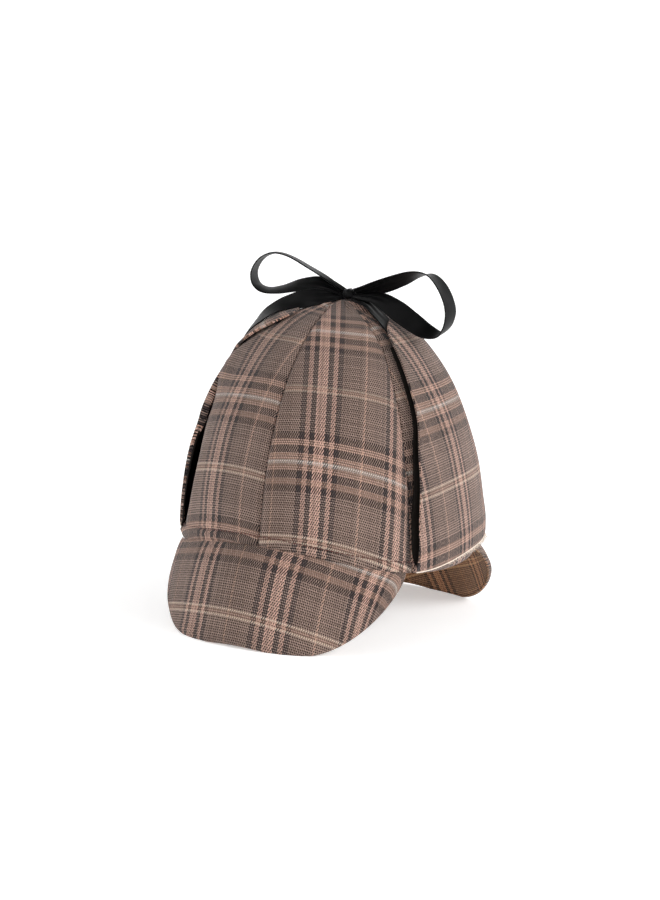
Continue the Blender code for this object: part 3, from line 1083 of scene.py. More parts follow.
@dataclass
class Crown:
    """Six gores with pressed seams, a stitched hem and the soft dents of worn cloth."""

    wardrobe: Wardrobe
    wall: float = 2.0
    gap: float = -0.1
    top_rise: float = 89.85
    panel_angle: int = 60
    broad_dip: float = 0.9
    side_angle: float = 60.5
    side_blend: float = 12.0
    crowding: float = 1.35
    crease_depth: float = 1.1
    crease_width: float = 1.2
    pucker: float = 0.16
    pucker_pitch: float = 6.5
    pucker_reach: float = 5.0
    seam_start: float = 6.0
    hem: float = 5.2
    hem_puff: float = 0.9
    hem_drop: float = 0.9
    hem_drop_reach: float = 1.6
    swell: Hump = Hump(2.2, -42.0, 28.0)
    flare: Hump = Hump(2.8, -64.0, 10.0)
    groove: Hump = Hump(1.1, 0.0, 0.75)
    top_x: float = 4.0
    top_lift: Hump = Hump(3.9, 0.0, 12.0)
    top_pleats: Hump = Hump(0.5, 13.0, 7.0)
    pleat_counts: tuple[int, int] = (13, 22)
    tuck: float = 0.7
    tuck_reach: float = 1.1
    slack: float = 0.35
    slack_from: float = 12.0

    def relief(self, angle: Array, rise: Array, up: Array) -> Array:
        """Dents, hem and slack of the cloth above the smooth dome.

        Args:
            angle: angles of the points.
            rise: rises of the points.
            up: distances from the rim, in millimetres.

        Returns:
            Heights in millimetres.
        """
        points = DOME.point(angle, rise)
        height = sum(fold.lift(points) for fold in CROWN_FOLDS)
        x, y, z = points.T
        waves = np.sin(x / 9.1 + z / 14.3) + np.sin(y / 8.3 - z / 11.7 + 1.3)
        waves += np.sin(z / 6.9 + x / 17.0)
        height += self.slack / 3 * waves * np.clip(up / self.slack_from, 0, 1)
        off_side = np.radians(np.abs(angle) - self.side_angle) * np.hypot(x, y)
        for side, rows in SIDE_RELIEF.items():
            lift, ahead, behind = smooth_rows(rows, rise).T
            on_side = np.clip(0.5 + side.sign * x / self.side_blend, 0, 1)
            height += lift * on_side * bell(off_side, np.where(off_side > 0, behind, ahead))
        off_top = np.hypot(x - self.top_x, y)
        height += self.top_lift.at(off_top)
        coarse, fine = (np.radians(angle) * count for count in self.pleat_counts)
        height += (np.cos(coarse) + 0.6 * np.cos(fine + 1.0)) * self.top_pleats.at(off_top)
        hem = self.hem_height(angle)
        roll = self.hem_puff + self.flare.at(angle)
        height += roll * np.sin(np.pi * np.clip(up / hem, 0, 1)) ** 0.8
        return height - self.groove.at(up - hem) - self.tuck * np.exp(-up / self.tuck_reach)

    def hem_height(self, angle: Array) -> Array:
        """Height of the stitched hem, in millimetres, which is uneven as it is worn."""
        return self.hem + self.swell.at(angle)

    def seam_dip(self, angle: Array, rise: Array, off_seam: Array, up: Array) -> Array:
        """Depth of the seams' valleys and creases.

        Args:
            angle: angles of the points.
            rise: rises of the points.
            off_seam: distances from the nearer seam, in millimetres.
            up: distances from the rim, in millimetres.

        Returns:
            Depths in millimetres.
        """
        off_peak = np.abs(np.sin(np.radians(angle) * 180 / self.panel_angle))
        fade = np.minimum(1, rise / self.seam_start) * np.cos(np.radians(np.minimum(rise, 90)))
        broad = self.broad_dip * (1 - off_peak) ** 2
        crease = self.crease_depth * np.exp(-off_seam / self.crease_width)
        ripple = np.sin(2 * np.pi * up / self.pucker_pitch) * np.exp(-off_seam / self.pucker_reach)
        return fade * broad + crease + self.pucker * ripple

    def hem_stitches(self) -> None:
        """Sew one row of stitches around the top of the hem."""
        angles = np.linspace(-180, 180, 721)
        rise = np.full_like(angles, 3.0)
        ups = DOME.flat_place(0.0, angles * 0, rise)[1] * 10
        rise = rise * self.hem_height(angles) / ups
        line = DOME.above(angles, rise, np.full_like(angles, -self.groove.height * 0.4))
        Stitches("hem_stitches", self.wardrobe.stitch).build(line, DOME.outward(angles, rise))

    def build(self) -> None:
        """Build all gores and the hem's stitches."""
        for place, first in (("front", 0), ("side", 60), ("rear", 120)):
            Gore(self, f"crown_{place}_left", first).build()
            Gore(self, f"crown_{place}_right", -first - self.panel_angle).build()
        self.hem_stitches()


@dataclass
class Gore(Shape):
    """One panel of the crown, from the lower angle of its two seams."""

    crown: Crown
    name: str
    first: int
    cut_share: float = 0.64

    @property
    def middle(self) -> float:
        """Angle of the gore's middle line."""
        return self.first + self.crown.panel_angle / 2

    def spot(self, across: Array, along: Array) -> tuple[Array, Array, Array]:
        """Angle, rise and the gore's width (mm) at points of its pad.

        Args:
            across: shares across the pad.
            along: shares along the pad.

        Returns:
            Angles, rises and widths.
        """
        crown = self.crown
        rise = crown.top_rise * along**crown.crowding
        foot = DOME.point(np.full_like(rise, self.middle), rise)
        radius = np.hypot(foot[:, 0], foot[:, 1])
        margin = np.degrees(crown.gap / 2 / np.maximum(radius, 0.4))
        angle = self.first + margin + (crown.panel_angle - 2 * margin) * across
        return angle, rise, radius * math.radians(crown.panel_angle)

    def form(self, across: Array, along: Array, depth: Array) -> Array:
        """Points of the gore's wall.

        Args:
            across: shares across the pad.
            along: shares along the pad.
            depth: shares through the pad.

        Returns:
            Rows of x, y and z in millimetres.
        """
        crown = self.crown
        angle, rise, width = self.spot(across, along)
        up = DOME.flat_place(self.middle, angle, rise)[1] * 10
        off_seam = np.minimum(across, 1 - across) * width
        height = crown.relief(angle, rise, up) - crown.seam_dip(angle, rise, off_seam, up)
        points = DOME.above(angle, rise, height - depth * crown.wall)
        points[:, 2] -= crown.hem_drop * np.exp(-up / crown.hem_drop_reach)
        return points

    def lay(self, across: Array, along: Array) -> Array:
        """Places in the uncut cloth at shares across and along the pad."""
        angle, rise, _ = self.spot(across, along)
        return CROWN_LIES[self.name].place(*DOME.flat_place(self.middle, angle, rise))

    def build(self) -> None:
        """Build the gore."""
        width = abs(float(DOME.flat_place(self.middle, float(self.first), 0.0)[0][0])) * 20
        length = float(DOME.flat_place(self.middle, self.middle, 90.0)[1]) * 10
        pad = Pad(width, length, self.crown.wall)
        # The inner face takes the check's back copy, with painted warm bounce light and shade.
        faces = (self.crown.wardrobe.check, self.crown.wardrobe.check_back_painted_bounce)
        piece = self.make(f"{self.name}_gore", pad, Slot.CLOTH, self.name, *faces)


# ---- visors


@dataclass(frozen=True)
class VisorCut:
    """Shape of a visor. Angles are degrees, and the other sizes are millimetres."""

    half_angle: float
    narrowing: float
    reach: float
    side_reach: float
    drop: float
    side_drop: float
    corner_lift: float
    end_power: float
    round_power: float
    rear: bool
    bulge: float = 8.9
    tip: float = 0.998
    root_gap: float = 0.3
    probe: float = 0.002

    def skin(self, across: Array, along: Array) -> Array:
        """Upper face, before it is turned to the back.

        Args:
            across: shares from tip to tip.
            along: shares from the rim out.

        Returns:
            Rows of x, y and z.
        """
        place = (2 * across - 1) * self.tip
        root = DOME.rim(place * self.half_angle)
        if self.rear:
            root[:, 2] = DOME.rim(180 - place * self.half_angle)[:, 2]
        root[:, 2] -= self.root_gap
        width = (1 - np.abs(place) ** self.end_power) ** self.round_power
        drop = self.drop + self.side_drop * place**2 - self.corner_lift * place**4
        turn = np.arctan2(root[:, 0], -root[:, 1]) * (1 - self.narrowing * width)
        radius = np.hypot(root[:, 0], root[:, 1]) + (self.reach + self.side_reach * place**2) * width
        height = root[:, 2] - drop * width
        brim = np.stack([radius * np.sin(turn), -radius * np.cos(turn), height], -1)
        face = root + (brim - root) * along[:, None]
        face[:, 2] += self.bulge * 4 * along * (1 - along) * width
        return face

    def normal(self, across: Array, along: Array) -> Array:
        """Directions out of the upper face.

        Args:
            across: shares from tip to tip.
            along: shares from the rim out.

        Returns:
            Rows of length one.
        """
        step = self.probe
        near = np.clip(across, step, 1 - step)
        side = self.skin(near + step, along) - self.skin(near - step, along)
        out = self.skin(near, along + step) - self.skin(near, along - step)
        return -unit(np.cross(side, out))


@dataclass
class Visor(Shape):
    """A stiff crescent that is covered with cloth on both faces."""

    name: str
    cut: VisorCut
    lie: CheckLie
    wardrobe: Wardrobe
    wall: float = 3.0
    width: float = 190.0
    length: float = 62.0
    root_reach: float = 1.6
    edge_roll: float = 0.35
    edge_width: float = 3.2
    edge_reach: float = 1.6

    def even(self, across: Array) -> Array:
        """Shares across that put more of the mesh at the tips."""
        return np.sin((2 * across - 1) * np.pi / 2) / 2 + 0.5

    def form(self, across: Array, along: Array, depth: Array) -> Array:
        """Points of the visor's wall.

        Args:
            across: shares across the pad.
            along: shares along the pad.
            depth: shares through the pad.

        Returns:
            Rows of x, y and z in millimetres.
        """
        place = self.even(across)
        normal = self.cut.normal(place, along)
        ends = np.sqrt(np.clip(1 - np.abs(2 * place - 1) ** 6, 0, 1))
        from_edge = (1 - along) * self.length
        along = along - self.root_reach / self.length * (1 - along)
        roll = self.edge_roll * bell(from_edge - self.edge_width, self.edge_reach)
        wave = 0.12 * np.sin(place * 37.0 + along * 5.0) + 0.1 * np.sin(place * 61.0 - along * 9.0)
        lift = (roll + wave * along) * ends
        point = self.cut.skin(place, along) + normal * (lift * (1 - depth) - depth * self.wall)[:, None]
        if self.cut.rear:
            point[:, :2] *= -1
        return point

    def lay(self, across: Array, along: Array) -> Array:
        """Places in the uncut cloth, from the visor's middle line and out from the rim.

        Args:
            across: shares across the pad.
            along: shares along the pad.

        Returns:
            Rows of centimetres along the weft and along the warp.
        """
        place = self.even(across)
        walk = np.array([self.cut.skin(0.5 + (place - 0.5) * part, along) for part in WALK])
        path = np.array([self.cut.skin(place, along * part) for part in WALK])
        side = steps(walk).sum(0) * np.sign(place - 0.5)
        return self.lie.place(side / 10, steps(path).sum(0) / 10)

    def build(self) -> None:
        """Build the visor."""
        pad = Pad(self.width, self.length, self.wall)
        # The underside takes the check's back copy, with painted warm bounce light and shade.
        faces = (self.wardrobe.check, self.wardrobe.check_back_painted_bounce)
        self.make(f"{self.name}_cloth", pad, Slot.CLOTH, self.name, *faces)


FRONT_CUT = VisorCut(
    half_angle=57.2, narrowing=0.33, reach=24.9, side_reach=0.0, drop=51.0, side_drop=2.1,
    corner_lift=8.7, end_power=3.67, round_power=0.603, rear=False,
)
REAR_CUT = VisorCut(
    half_angle=66.0, narrowing=0.3, reach=29.1, side_reach=9.0, drop=62.3, side_drop=4.4,
    corner_lift=35.6, end_power=4.48, round_power=0.735, rear=True,
)
FRONT_LIE = CheckLie(-1.823, 0.978, -0.011, -0.38, -0.946, 0.047, 0.011, -0.0064)
REAR_LIE = CheckLie(0.2, 0.91, 0.42, 1.4, -0.91, 0.42, 0.004)


# ---- ear flaps

# Outline of an ear flap: rise on the crown, then how far it reaches from the crown's side line
# to the front and to the back, and how far its lining reaches past its front edge (degrees).
# The lining that reaches past the cloth's front edge is a real black lining, and also a dark sheet that
# paints the shade in the gap beside the crown.
FLAP_OUTLINES = {
    Side.LEFT: (
        (0, 32.6, 32, -2), (0.8, 31.2, 31.9, -1.8), (1.8, 30.1, 31.7, -1.2),
        (3.2, 29.8, 31.4, 0.2), (6, 29.9, 31, 1), (12, 30, 30, 1.1), (17, 29.4, 29.4, 0.6),
        (20, 29, 29, 0.5), (28, 28, 27.8, 0), (36, 25.7, 25.4, -0.6), (48, 25.3, 25, -0.8),
        (58, 24.6, 24.2, -0.8), (62, 23.6, 22, -0.8), (65, 21, 18, -0.8), (67.5, 15.5, 12.5, -0.8),
        (69.2, 9, 6.5, -0.8), (70.2, 3.5, 2.5, -0.8),
    ),
    Side.RIGHT: (
        (0, 31, 32, 2.6), (12, 30.5, 30, 3.4), (20, 30, 29, 2.6), (24, 29.8, 28.5, 1.6),
        (28, 29.5, 28, -1), (34, 29, 26, -2.5), (40, 25.5, 25.3, -3), (44, 23, 25.2, -4),
        (48, 23.2, 25, -5), (50, 25, 25, -7), (52, 29, 24.8, -9), (55, 36, 24.5, -12),
        (58, 41.5, 24, -12), (61, 46, 22, -10), (64, 51, 19, -8), (68, 56, 13, -6),
        (71, 57, 8, -6), (73.5, 50, 2, -6), (75.3, 38, -4, -6), (76.2, 28, -10, -6),
    ),
}

# How far a flap stands off the crown: rise, then front edge, middle and back edge (mm).
FLAP_LIFTS = {
    Side.LEFT: (
        (0, 0.4, 0.7, 4.2), (6, 2, 1.2, 4.4), (12, 2.1, 0.9, 3), (18, 2.2, 0.7, 2.2),
        (32, 1.8, 0.4, 1), (50, 1.4, 0.3, 0.8), (62, 1, 0.8, 0.8), (70.2, 0.9, 0.9, 0.9),
    ),
    Side.RIGHT: (
        (0, -1.5, 0.2, 0.6), (4.5, -0.8, 0.7, 1.8), (8.5, -0.1, 0.7, 2), (13, 0.3, 0.7, 2.2),
        (23, 0.8, 0.7, 2), (28.5, 0.9, 0.6, 1.6), (32.5, 2, 0.6, 1.4), (38.5, 2.3, 0.7, 1.3),
        (46, 2, 0.8, 1.2), (49, 2.3, 1, 1.2), (52, 3.1, 1.4, 1.2), (56, 3.3, 2.6, 1.4),
        (59, 2.9, 2.9, 1.6), (63, 2, 2.3, 1.8), (67, 1.5, 1.7, 1.6), (70, 1, 1.1, 1.4),
        (73, 0.2, 0.3, 1), (76.2, -0.5, -0.3, 0.8),
    ),
}

# Bottom edge of a flap: place from its front (-1) to its back (1), and rise (degrees).
FLAP_SOLES = {
    Side.LEFT: ((-1, 0.1), (-0.75, 0.8), (-0.45, 1.9), (-0.2, 2.6), (0.1, 2.9), (0.5, 2.8), (1, 2.6)),
    Side.RIGHT: ((-1, 3.8), (-0.8, 2), (-0.5, 1.1), (0, 0.8), (1, 0.8)),
}

FLAP_LIES = {
    Side.LEFT: CheckLie(5.537, 1.211, 0.079, -9.13, 0.933, -0.037, 0.021, 0.0049),
    Side.RIGHT: CheckLie(1.3, 1.0, 0.0, -5.2, 1.0, 0.03, 0.02),
}


@dataclass(frozen=True)
class FlapLayer(Shape):
    """One layer of a flap, between the crown and the open. Sizes are millimetres."""

    side: Side
    node: str
    slot: Slot
    finish: Material
    floor: float
    wall: float
    last_rise: float
    raised: float = 0.0
    lift_share: float = 1.0
    front_sink: float = 0.0
    past_front: float = 0.0
    past_back: float = 0.0
    turn_in: float = 0.0
    turn_from: float = 0.93
    turn_reach: float = 0.04
    turn_top: float = 50.0
    turn_fade: float = 10.0
    roll_share: float = 1.6
    roll_rise: float = 33.0
    roll_reach: float = 7.0
    edge_power: float = 2.5
    slack: float = 0.25

    def spot(self, across: Array, along: Array) -> tuple[Array, Array, Array, Array]:
        """Where points of the layer's pad lie on the crown.

        Args:
            across: shares across the pad.
            along: shares along the pad.

        Returns:
            Angles, rises, stand-offs and places from edge (-1) to edge (1).
        """
        place = 2 * across - 1
        sole = smooth_rows(FLAP_SOLES[self.side], place)[:, 0] + self.raised
        rise = sole + (self.last_rise - sole) * along
        ahead, behind, past = smooth_rows(FLAP_OUTLINES[self.side], rise).T
        ahead = ahead + past * self.past_front
        behind = behind + self.past_back
        front, middle, back = smooth_rows(FLAP_LIFTS[self.side], rise).T
        edge = np.where(place > 0, back, front)
        lift = middle + (edge - middle) * np.abs(place) ** self.edge_power
        angle = 90 + (behind - ahead) / 2 + (ahead + behind) / 2 * place
        share = 1 - (1 - self.lift_share) * np.abs(place) ** 4
        sink = self.front_sink * np.clip(-place, 0, 1) ** 4
        return self.side.sign * angle, rise, lift * share - sink, place

    def form(self, across: Array, along: Array, depth: Array) -> Array:
        """Points of the layer's wall, whose side edges turn in over its lining.

        Args:
            across: shares across the pad.
            along: shares along the pad.
            depth: shares through the pad.

        Returns:
            Rows of x, y and z in millimetres.
        """
        angle, rise, lift, place = self.spot(across, along)
        _, y, z = DOME.point(angle, rise).T
        wave = self.slack * (np.sin(y / 7.3 + z / 12.0) + np.sin(z / 8.1 - y / 15.0)) * (1 - depth)
        turned = np.clip((np.abs(place) - self.turn_from) / self.turn_reach, 0, 1)
        turned = turned * np.clip((self.turn_top - rise) / self.turn_fade, 0, 1)
        height = self.floor + lift + self.wall * (1 - depth) + wave / 2
        roll = np.exp(-(((rise - self.roll_rise) / self.roll_reach) ** 4))
        thick = self.turn_in * (1 + self.roll_share * roll)
        return DOME.above(angle, rise, height - thick * turned * depth)

    def lay(self, across: Array, along: Array) -> Array:
        """Places in the uncut cloth at shares across and along the pad."""
        angle, rise, *_ = self.spot(across, along)
        return FLAP_LIES[self.side].place(*DOME.flat_place(self.side.sign * 90.0, angle, rise))


@dataclass
class EarFlap:
    """One flap: the check cloth over its dark lining, both turned up on the crown."""

    side: Side
    wardrobe: Wardrobe
    floor: float = 0.3
    lining_wall: float = 1.0
    layer_gap: float = 0.4
    cloth_wall: float = 1.5
    rim_angle: float = 64.0
    length: float = 150.0
    cut_share: float = 0.62
    fray_seed: int = 5
    fray_threads: int = 260
    fray_radius: float = 0.09
    raw_edge_radius: float = 0.42

    def build(self) -> None:
        """Build the cloth, the lining and the frayed lower edge."""
        side, name, looks = self.side, self.side.value, self.wardrobe
        is_left = side is Side.LEFT
        cloth = FlapLayer(
            side, f"{name}_ear_flap", Slot.CLOTH, looks.check,
            self.floor + self.lining_wall + self.layer_gap, self.cloth_wall,
            last_rise=FLAP_OUTLINES[side][-1][0],
            turn_in=0.0 if is_left else 1.3,
        )
        lining = FlapLayer(
            side, f"{name}_flap_lining", Slot.LINING, looks.lining,
            self.floor, self.lining_wall,
            last_rise=59.5 if is_left else 70.0,
            raised=0.7,
            lift_share=0.45,
            front_sink=2.2 if is_left else 0.0,
            # The lining reaches past the cloth's front edge; there its black also paints the shade in
            # the gap.
            past_front=1.0,
            past_back=-1.5,
        )
        width = math.radians(self.rim_angle) * DOME.half_length
        for layer in (cloth, lining):
            pad = Pad(width, self.length, layer.wall)
            name = f"{layer.node}_cloth"
            piece = layer.make(name, pad, layer.slot, layer.node, layer.finish)
        self.fray(cloth)

    def fray(self, layer: FlapLayer) -> None:
        """Add loose pale threads and the raw edge along the bottom of the cloth.

        Args:
            layer: the layer that frays.
        """
        chance = np.random.default_rng(self.fray_seed)
        shares = np.linspace(0.03, 0.97, 160)
        still = np.zeros_like(shares)
        edge = layer.form(shares, still, still + 0.35)
        out = unit(layer.form(shares, still, still) - layer.form(shares, still, still + 1.0))
        edge[:, 2] -= 0.15
        mesh = bmesh.new()
        add_strand(mesh, edge, self.raw_edge_radius, sides=6)
        for share in chance.uniform(0.25, 0.97, self.fray_threads):
            here, away = (
                np.array([np.interp(share, shares, column) for column in rows.T])
                for rows in (edge, out)
            )
            reach = chance.uniform(0.6, 1.4) * (0.6 + 1.6 * share)
            sway = chance.normal(0, 0.5, 3)
            way = np.linspace(0, 1, 5)[:, None]
            path = here + way * reach * (np.array((0, 0, -1)) + 0.3 * away + 0.5 * sway)
            path = path + way**2 * chance.normal(0, 0.35, 3)
            add_strand(mesh, path, self.fray_radius, sides=3)
        STAND.seat(mesh)
        bmesh.ops.recalc_face_normals(mesh, faces=mesh.faces)
        name = f"{self.side.value}_flap_fray"
        settle(add_object(name, mesh, [self.wardrobe.fray]), Slot.CLOTH)


# ---- ribbon

# Directions that a ribbon's width can keep to.
ALONG_X, ALONG_Y = (1.0, 0.0, 0.0), (0.0, 1.0, 0.0)

# Ribbon from each flap's tip to the knot: angle, rise, height above the crown (mm), and how
# far it leans from lying flat on the crown (degrees).
TIES = {
    Side.LEFT: (
        (76, 60.5, 1.2, 0), (76.6, 65, 1.6, 0), (77.5, 70, 2.3, 0), (78.5, 74, 3.1, 0),
        (84, 79, 4.6, 4),
    ),
    Side.RIGHT: (
        (-86, 49, 5.4, 0), (-75, 57, 7.4, -8), (-67, 63, 7.8, -18), (-63, 69, 7.6, -24),
        (-60, 74, 6.7, -33), (-58, 78, 5.7, -46), (-56, 82, 5.4, -40),
    ),
}

# Bow loops, from the knot along the upper strand and back along the lower one:
# x, y, z and width (mm), lean of the ribbon's width (degrees).
BOW_LOOPS = {
    Side.LEFT: (
        (8.5, 0, 186.6, 7, 24), (22, -0.5, 189.8, 11.5, 40), (37.5, -1, 195.6, 12.5, 34),
        (47.5, -1, 199.4, 12.5, 17), (55.5, -0.5, 199.6, 12.5, 2), (62, 0, 194.5, 12.5, -6),
        (67.2, 0, 186.5, 12.5, -8), (69.4, 0, 179, 12.5, -8), (68.2, -1, 171, 12.5, 0),
        (64.2, -2, 166.4, 12.5, 10), (56.5, -4, 167.6, 12.5, 32), (47, -6.5, 173.6, 12.5, 50),
        (38, -6.5, 179, 12.5, 54), (26, -3.5, 184.2, 10.5, 36), (8.5, 0, 184.6, 7, 20),
    ),
    Side.RIGHT: (
        (1.9, 0, 186.6, 7, 0), (-9, -0.5, 192.4, 11.5, -6), (-20, -1, 197.8, 12.5, -8),
        (-34, -1, 204.2, 12.5, -8), (-44.6, -1, 205.6, 12.5, -2), (-53.4, -0.5, 201.6, 12.5, 6),
        (-58.2, 0, 193.5, 12.5, 8), (-56.6, 0, 186.5, 12.5, 4), (-50.5, 0, 183.2, 12.5, -8),
        (-41, 1, 184, 12.5, -20), (-29, 2, 187.2, 12.5, -34), (-16, 2, 188.9, 11.5, -38),
        (-6.5, 1, 187.2, 9, -22), (1.9, 0, 184.6, 7, -20),
    ),
}

# Ribbon tails on the back of the crown: angle and rise (degrees), height (mm).
TAILS = {
    Side.LEFT: (
        (146, 81, 2), (154, 74, 1), (158, 62, 1), (156, 50, 1), (155.5, 38, 1),
    ),
    Side.RIGHT: (
        (-150, 81, 2), (-156, 74, 1), (-161, 62, 1), (-160, 52, 1), (-160.5, 43, 1),
    ),
}


@dataclass(frozen=True)
class Knot:
    """Place and half sizes of the bow's knot, and how ribbons meet it, in millimetres."""

    middle: Triple = (5.2, 0.0, 184.8)
    half: Triple = (3.5, 4.6, 3.1)
    gap: float = 0.3
    tie_drop: float = 1.2
    tie_width: float = 8.0
    tie_lean: float = 32.0
    tail_drop: float = 0.6
    tail_aside: float = 2.4
    tail_width: float = 4.0
    boxiness: float = 0.75
    fold_depth: float = 0.07
    fold_count: float = 9.0

    def build(self, finish: Material) -> None:
        """Build the wrap of ribbon around the crossing, with its gathers.

        Args:
            finish: the ribbon's material.
        """
        mesh = bmesh.new()
        bmesh.ops.create_uvsphere(mesh, u_segments=48, v_segments=32, radius=1.0)
        points = vert_rows(mesh)
        boxy = np.sign(points) * np.abs(points) ** self.boxiness
        gathers = self.fold_depth * np.cos(boxy[:, 0] * self.fold_count)
        wrap = boxy * np.array(self.half)
        wrap[:, 1:] *= (1 + gathers * (1 - np.abs(points[:, 0])))[:, None]
        cloth_map = mesh.loops.layers.uv.new("cloth")
        STAND.seat(mesh, wrap + np.array(self.middle))
        for loop in (loop for face in mesh.faces for loop in face.loops):
            point = points[loop.vert.index]
            around = math.atan2(point[2], point[1]) * self.half[2]
            loop[cloth_map].uv = (point[0] * self.half[0] * MM, around * MM)
        close_outwards(mesh)
        settle(add_object("bow_knot_ribbon", mesh, [finish]), Slot.RIBBON, "bow_knot")


@dataclass
class Ribbon(Shape):
    """One length of ribbon along a route.

    The route has rows of x, y, z and width (mm) and lean (degrees). Where the lean is 0, the
    ribbon's width keeps to the steady direction. Its start and its end may be gathered.
    """

    node: str
    route: Array
    steady: Triple
    gathered: tuple[bool, bool]
    wall: float = 0.8
    width: float = 12.5
    gather: float = 0.55
    gather_reach: float = 16.0
    pleat_count: float = 2.5
    pleat_slant: float = 9.0
    cup: float = 0.5
    cup_turn: float = 13.0
    probe: float = 0.4

    def __post_init__(self) -> None:
        """Measure the route."""
        self.table = np.column_stack([walked(self.route[:, :3]), self.route])
        self.length = self.table[-1, 0]

    def form(self, across: Array, along: Array, depth: Array) -> Array:
        """Points of the ribbon.

        Args:
            across: shares across the pad.
            along: shares along the pad.
            depth: shares through the pad.

        Returns:
            Rows of x, y and z in millimetres.
        """
        way = self.length * along
        columns = smooth_rows(self.table, way)
        centre, width, lean = columns[:, :3], columns[:, 3], np.radians(columns[:, 4])
        ahead = smooth_rows(self.table, np.minimum(way + self.probe, self.length))[:, :3]
        behind = smooth_rows(self.table, np.maximum(way - self.probe, 0.0))[:, :3]
        forward = unit(ahead - behind)
        steady = np.array(self.steady, float)
        flat = unit(steady - forward * (forward @ steady)[:, None])
        face = np.cross(flat, forward)
        width_way = flat * np.cos(lean)[:, None] + face * np.sin(lean)[:, None]
        near = np.zeros_like(way)
        for is_gathered, distance in zip(self.gathered, (way, self.length - way)):
            if is_gathered:
                near = np.maximum(near, bell(distance, self.gather_reach))
        fold_turn = 2 * np.pi * across * self.pleat_count + way / self.pleat_slant
        pleats = self.gather * near * np.cos(fold_turn)
        curl = self.cup * (2 * across - 1) ** 2 * np.sin(way / self.cup_turn + 1.0) * (1 - near)
        offset = self.wall * (0.5 - depth) + pleats + curl
        side = (width * (across - 0.5))[:, None]
        return centre + width_way * side + np.cross(width_way, forward) * offset[:, None]

    def lay(self, across: Array, along: Array) -> Array:
        """Places in the uncut ribbon at shares across and along the pad."""
        return np.stack([across * self.width, along * self.length], -1) / 10

    def build(self, finish: Material) -> None:
        """Build the ribbon.

        Args:
            finish: the ribbon's material.
        """
        pad = Pad(self.width, self.length, self.wall, cell=0.7, rounding=0.4)
        piece = self.make(f"{self.node}_ribbon", pad, Slot.RIBBON, self.node, finish)


@dataclass
class Bow:
    """The black satin ribbon: ties, loops, tails and the knot that holds them."""

    wardrobe: Wardrobe
    knot: Knot = Knot()
    width: float = 12.5

    def on_dome(self, rows: Sequence[Sequence[float]]) -> Array:
        """Route rows on the dome.

        Args:
            rows: angle, rise, height, width and lean.

        Returns:
            Rows of x, y, z, width and lean.
        """
        table = np.asarray(rows, float)
        points = DOME.above(table[:, 0], table[:, 1], table[:, 2])
        return np.column_stack([points, table[:, 3:]])

    def flat_lean(self, angle: float, rise: float, steady: Triple) -> float:
        """Lean at which a ribbon that runs up or down the dome lies flat on it.

        Args:
            angle: angle of the place on the crown.
            rise: rise of that place.
            steady: direction that the ribbon's width keeps to.

        Returns:
            The lean in degrees.
        """
        below, here = DOME.point(angle, [rise - 1, rise])
        forward = unit(below - here)
        flat = unit(np.array(steady) - forward * (forward @ steady))
        outward = DOME.outward(angle, rise)
        return math.degrees(math.atan(-(flat @ outward) / (np.cross(flat, forward) @ outward)))

    def tie_route(self, side: Side) -> Array:
        """Route from a flap's outer face to the knot.

        Args:
            side: the flap's side.

        Returns:
            Rows of x, y, z, width and lean.
        """
        knot, (x, y, z) = self.knot, self.knot.middle
        rows = [
            (angle, rise, height, self.width, lean - self.flat_lean(angle, rise, ALONG_Y))
            for angle, rise, height, lean in TIES[side]
        ]
        end = (x + side.sign * (knot.half[0] + knot.gap), y, z - knot.tie_drop)
        return np.vstack([self.on_dome(rows), (*end, knot.tie_width, side.sign * knot.tie_lean)])

    def tail_route(self, side: Side) -> Array:
        """Route of a tail from the knot's back down the rear of the crown.

        Args:
            side: the tail's side.

        Returns:
            Rows of x, y, z, width and lean.
        """
        knot, (x, y, z) = self.knot, self.knot.middle
        aside = side.sign * knot.tail_aside
        start = (x + aside, y + knot.half[1] + knot.gap, z - knot.tail_drop)
        rows = [
            (angle, rise, height, self.width, self.flat_lean(angle, rise, ALONG_X))
            for angle, rise, height in TAILS[side]
        ]
        return np.vstack([(*start, knot.tail_width, 0.0), self.on_dome(rows)])

    def build(self) -> None:
        """Build the whole bow."""
        satin = self.wardrobe.satin
        for side in Side:
            name, loop = side.value, np.array(BOW_LOOPS[side])
            Ribbon(f"{name}_tie", self.tie_route(side), ALONG_Y, (False, True)).build(satin)
            Ribbon(f"{name}_bow_loop", loop, ALONG_Y, (True, True)).build(satin)
            tail = Ribbon(f"{name}_ribbon_tail", self.tail_route(side), ALONG_X, (True, False))
            tail.build(satin)
        self.knot.build(satin)


# ---- studio

# Lights: place and size in metres, and power in watts.
LIGHTS = {
    "key_light": ((1.5, 0.1, 0.9), 0.9, 18.5),
    "top_light": ((-0.75, -0.8, 1.7), 1.0, 7.0),
    "fill_light": ((-1.1, -0.35, 1.5), 0.8, 1.2),
}


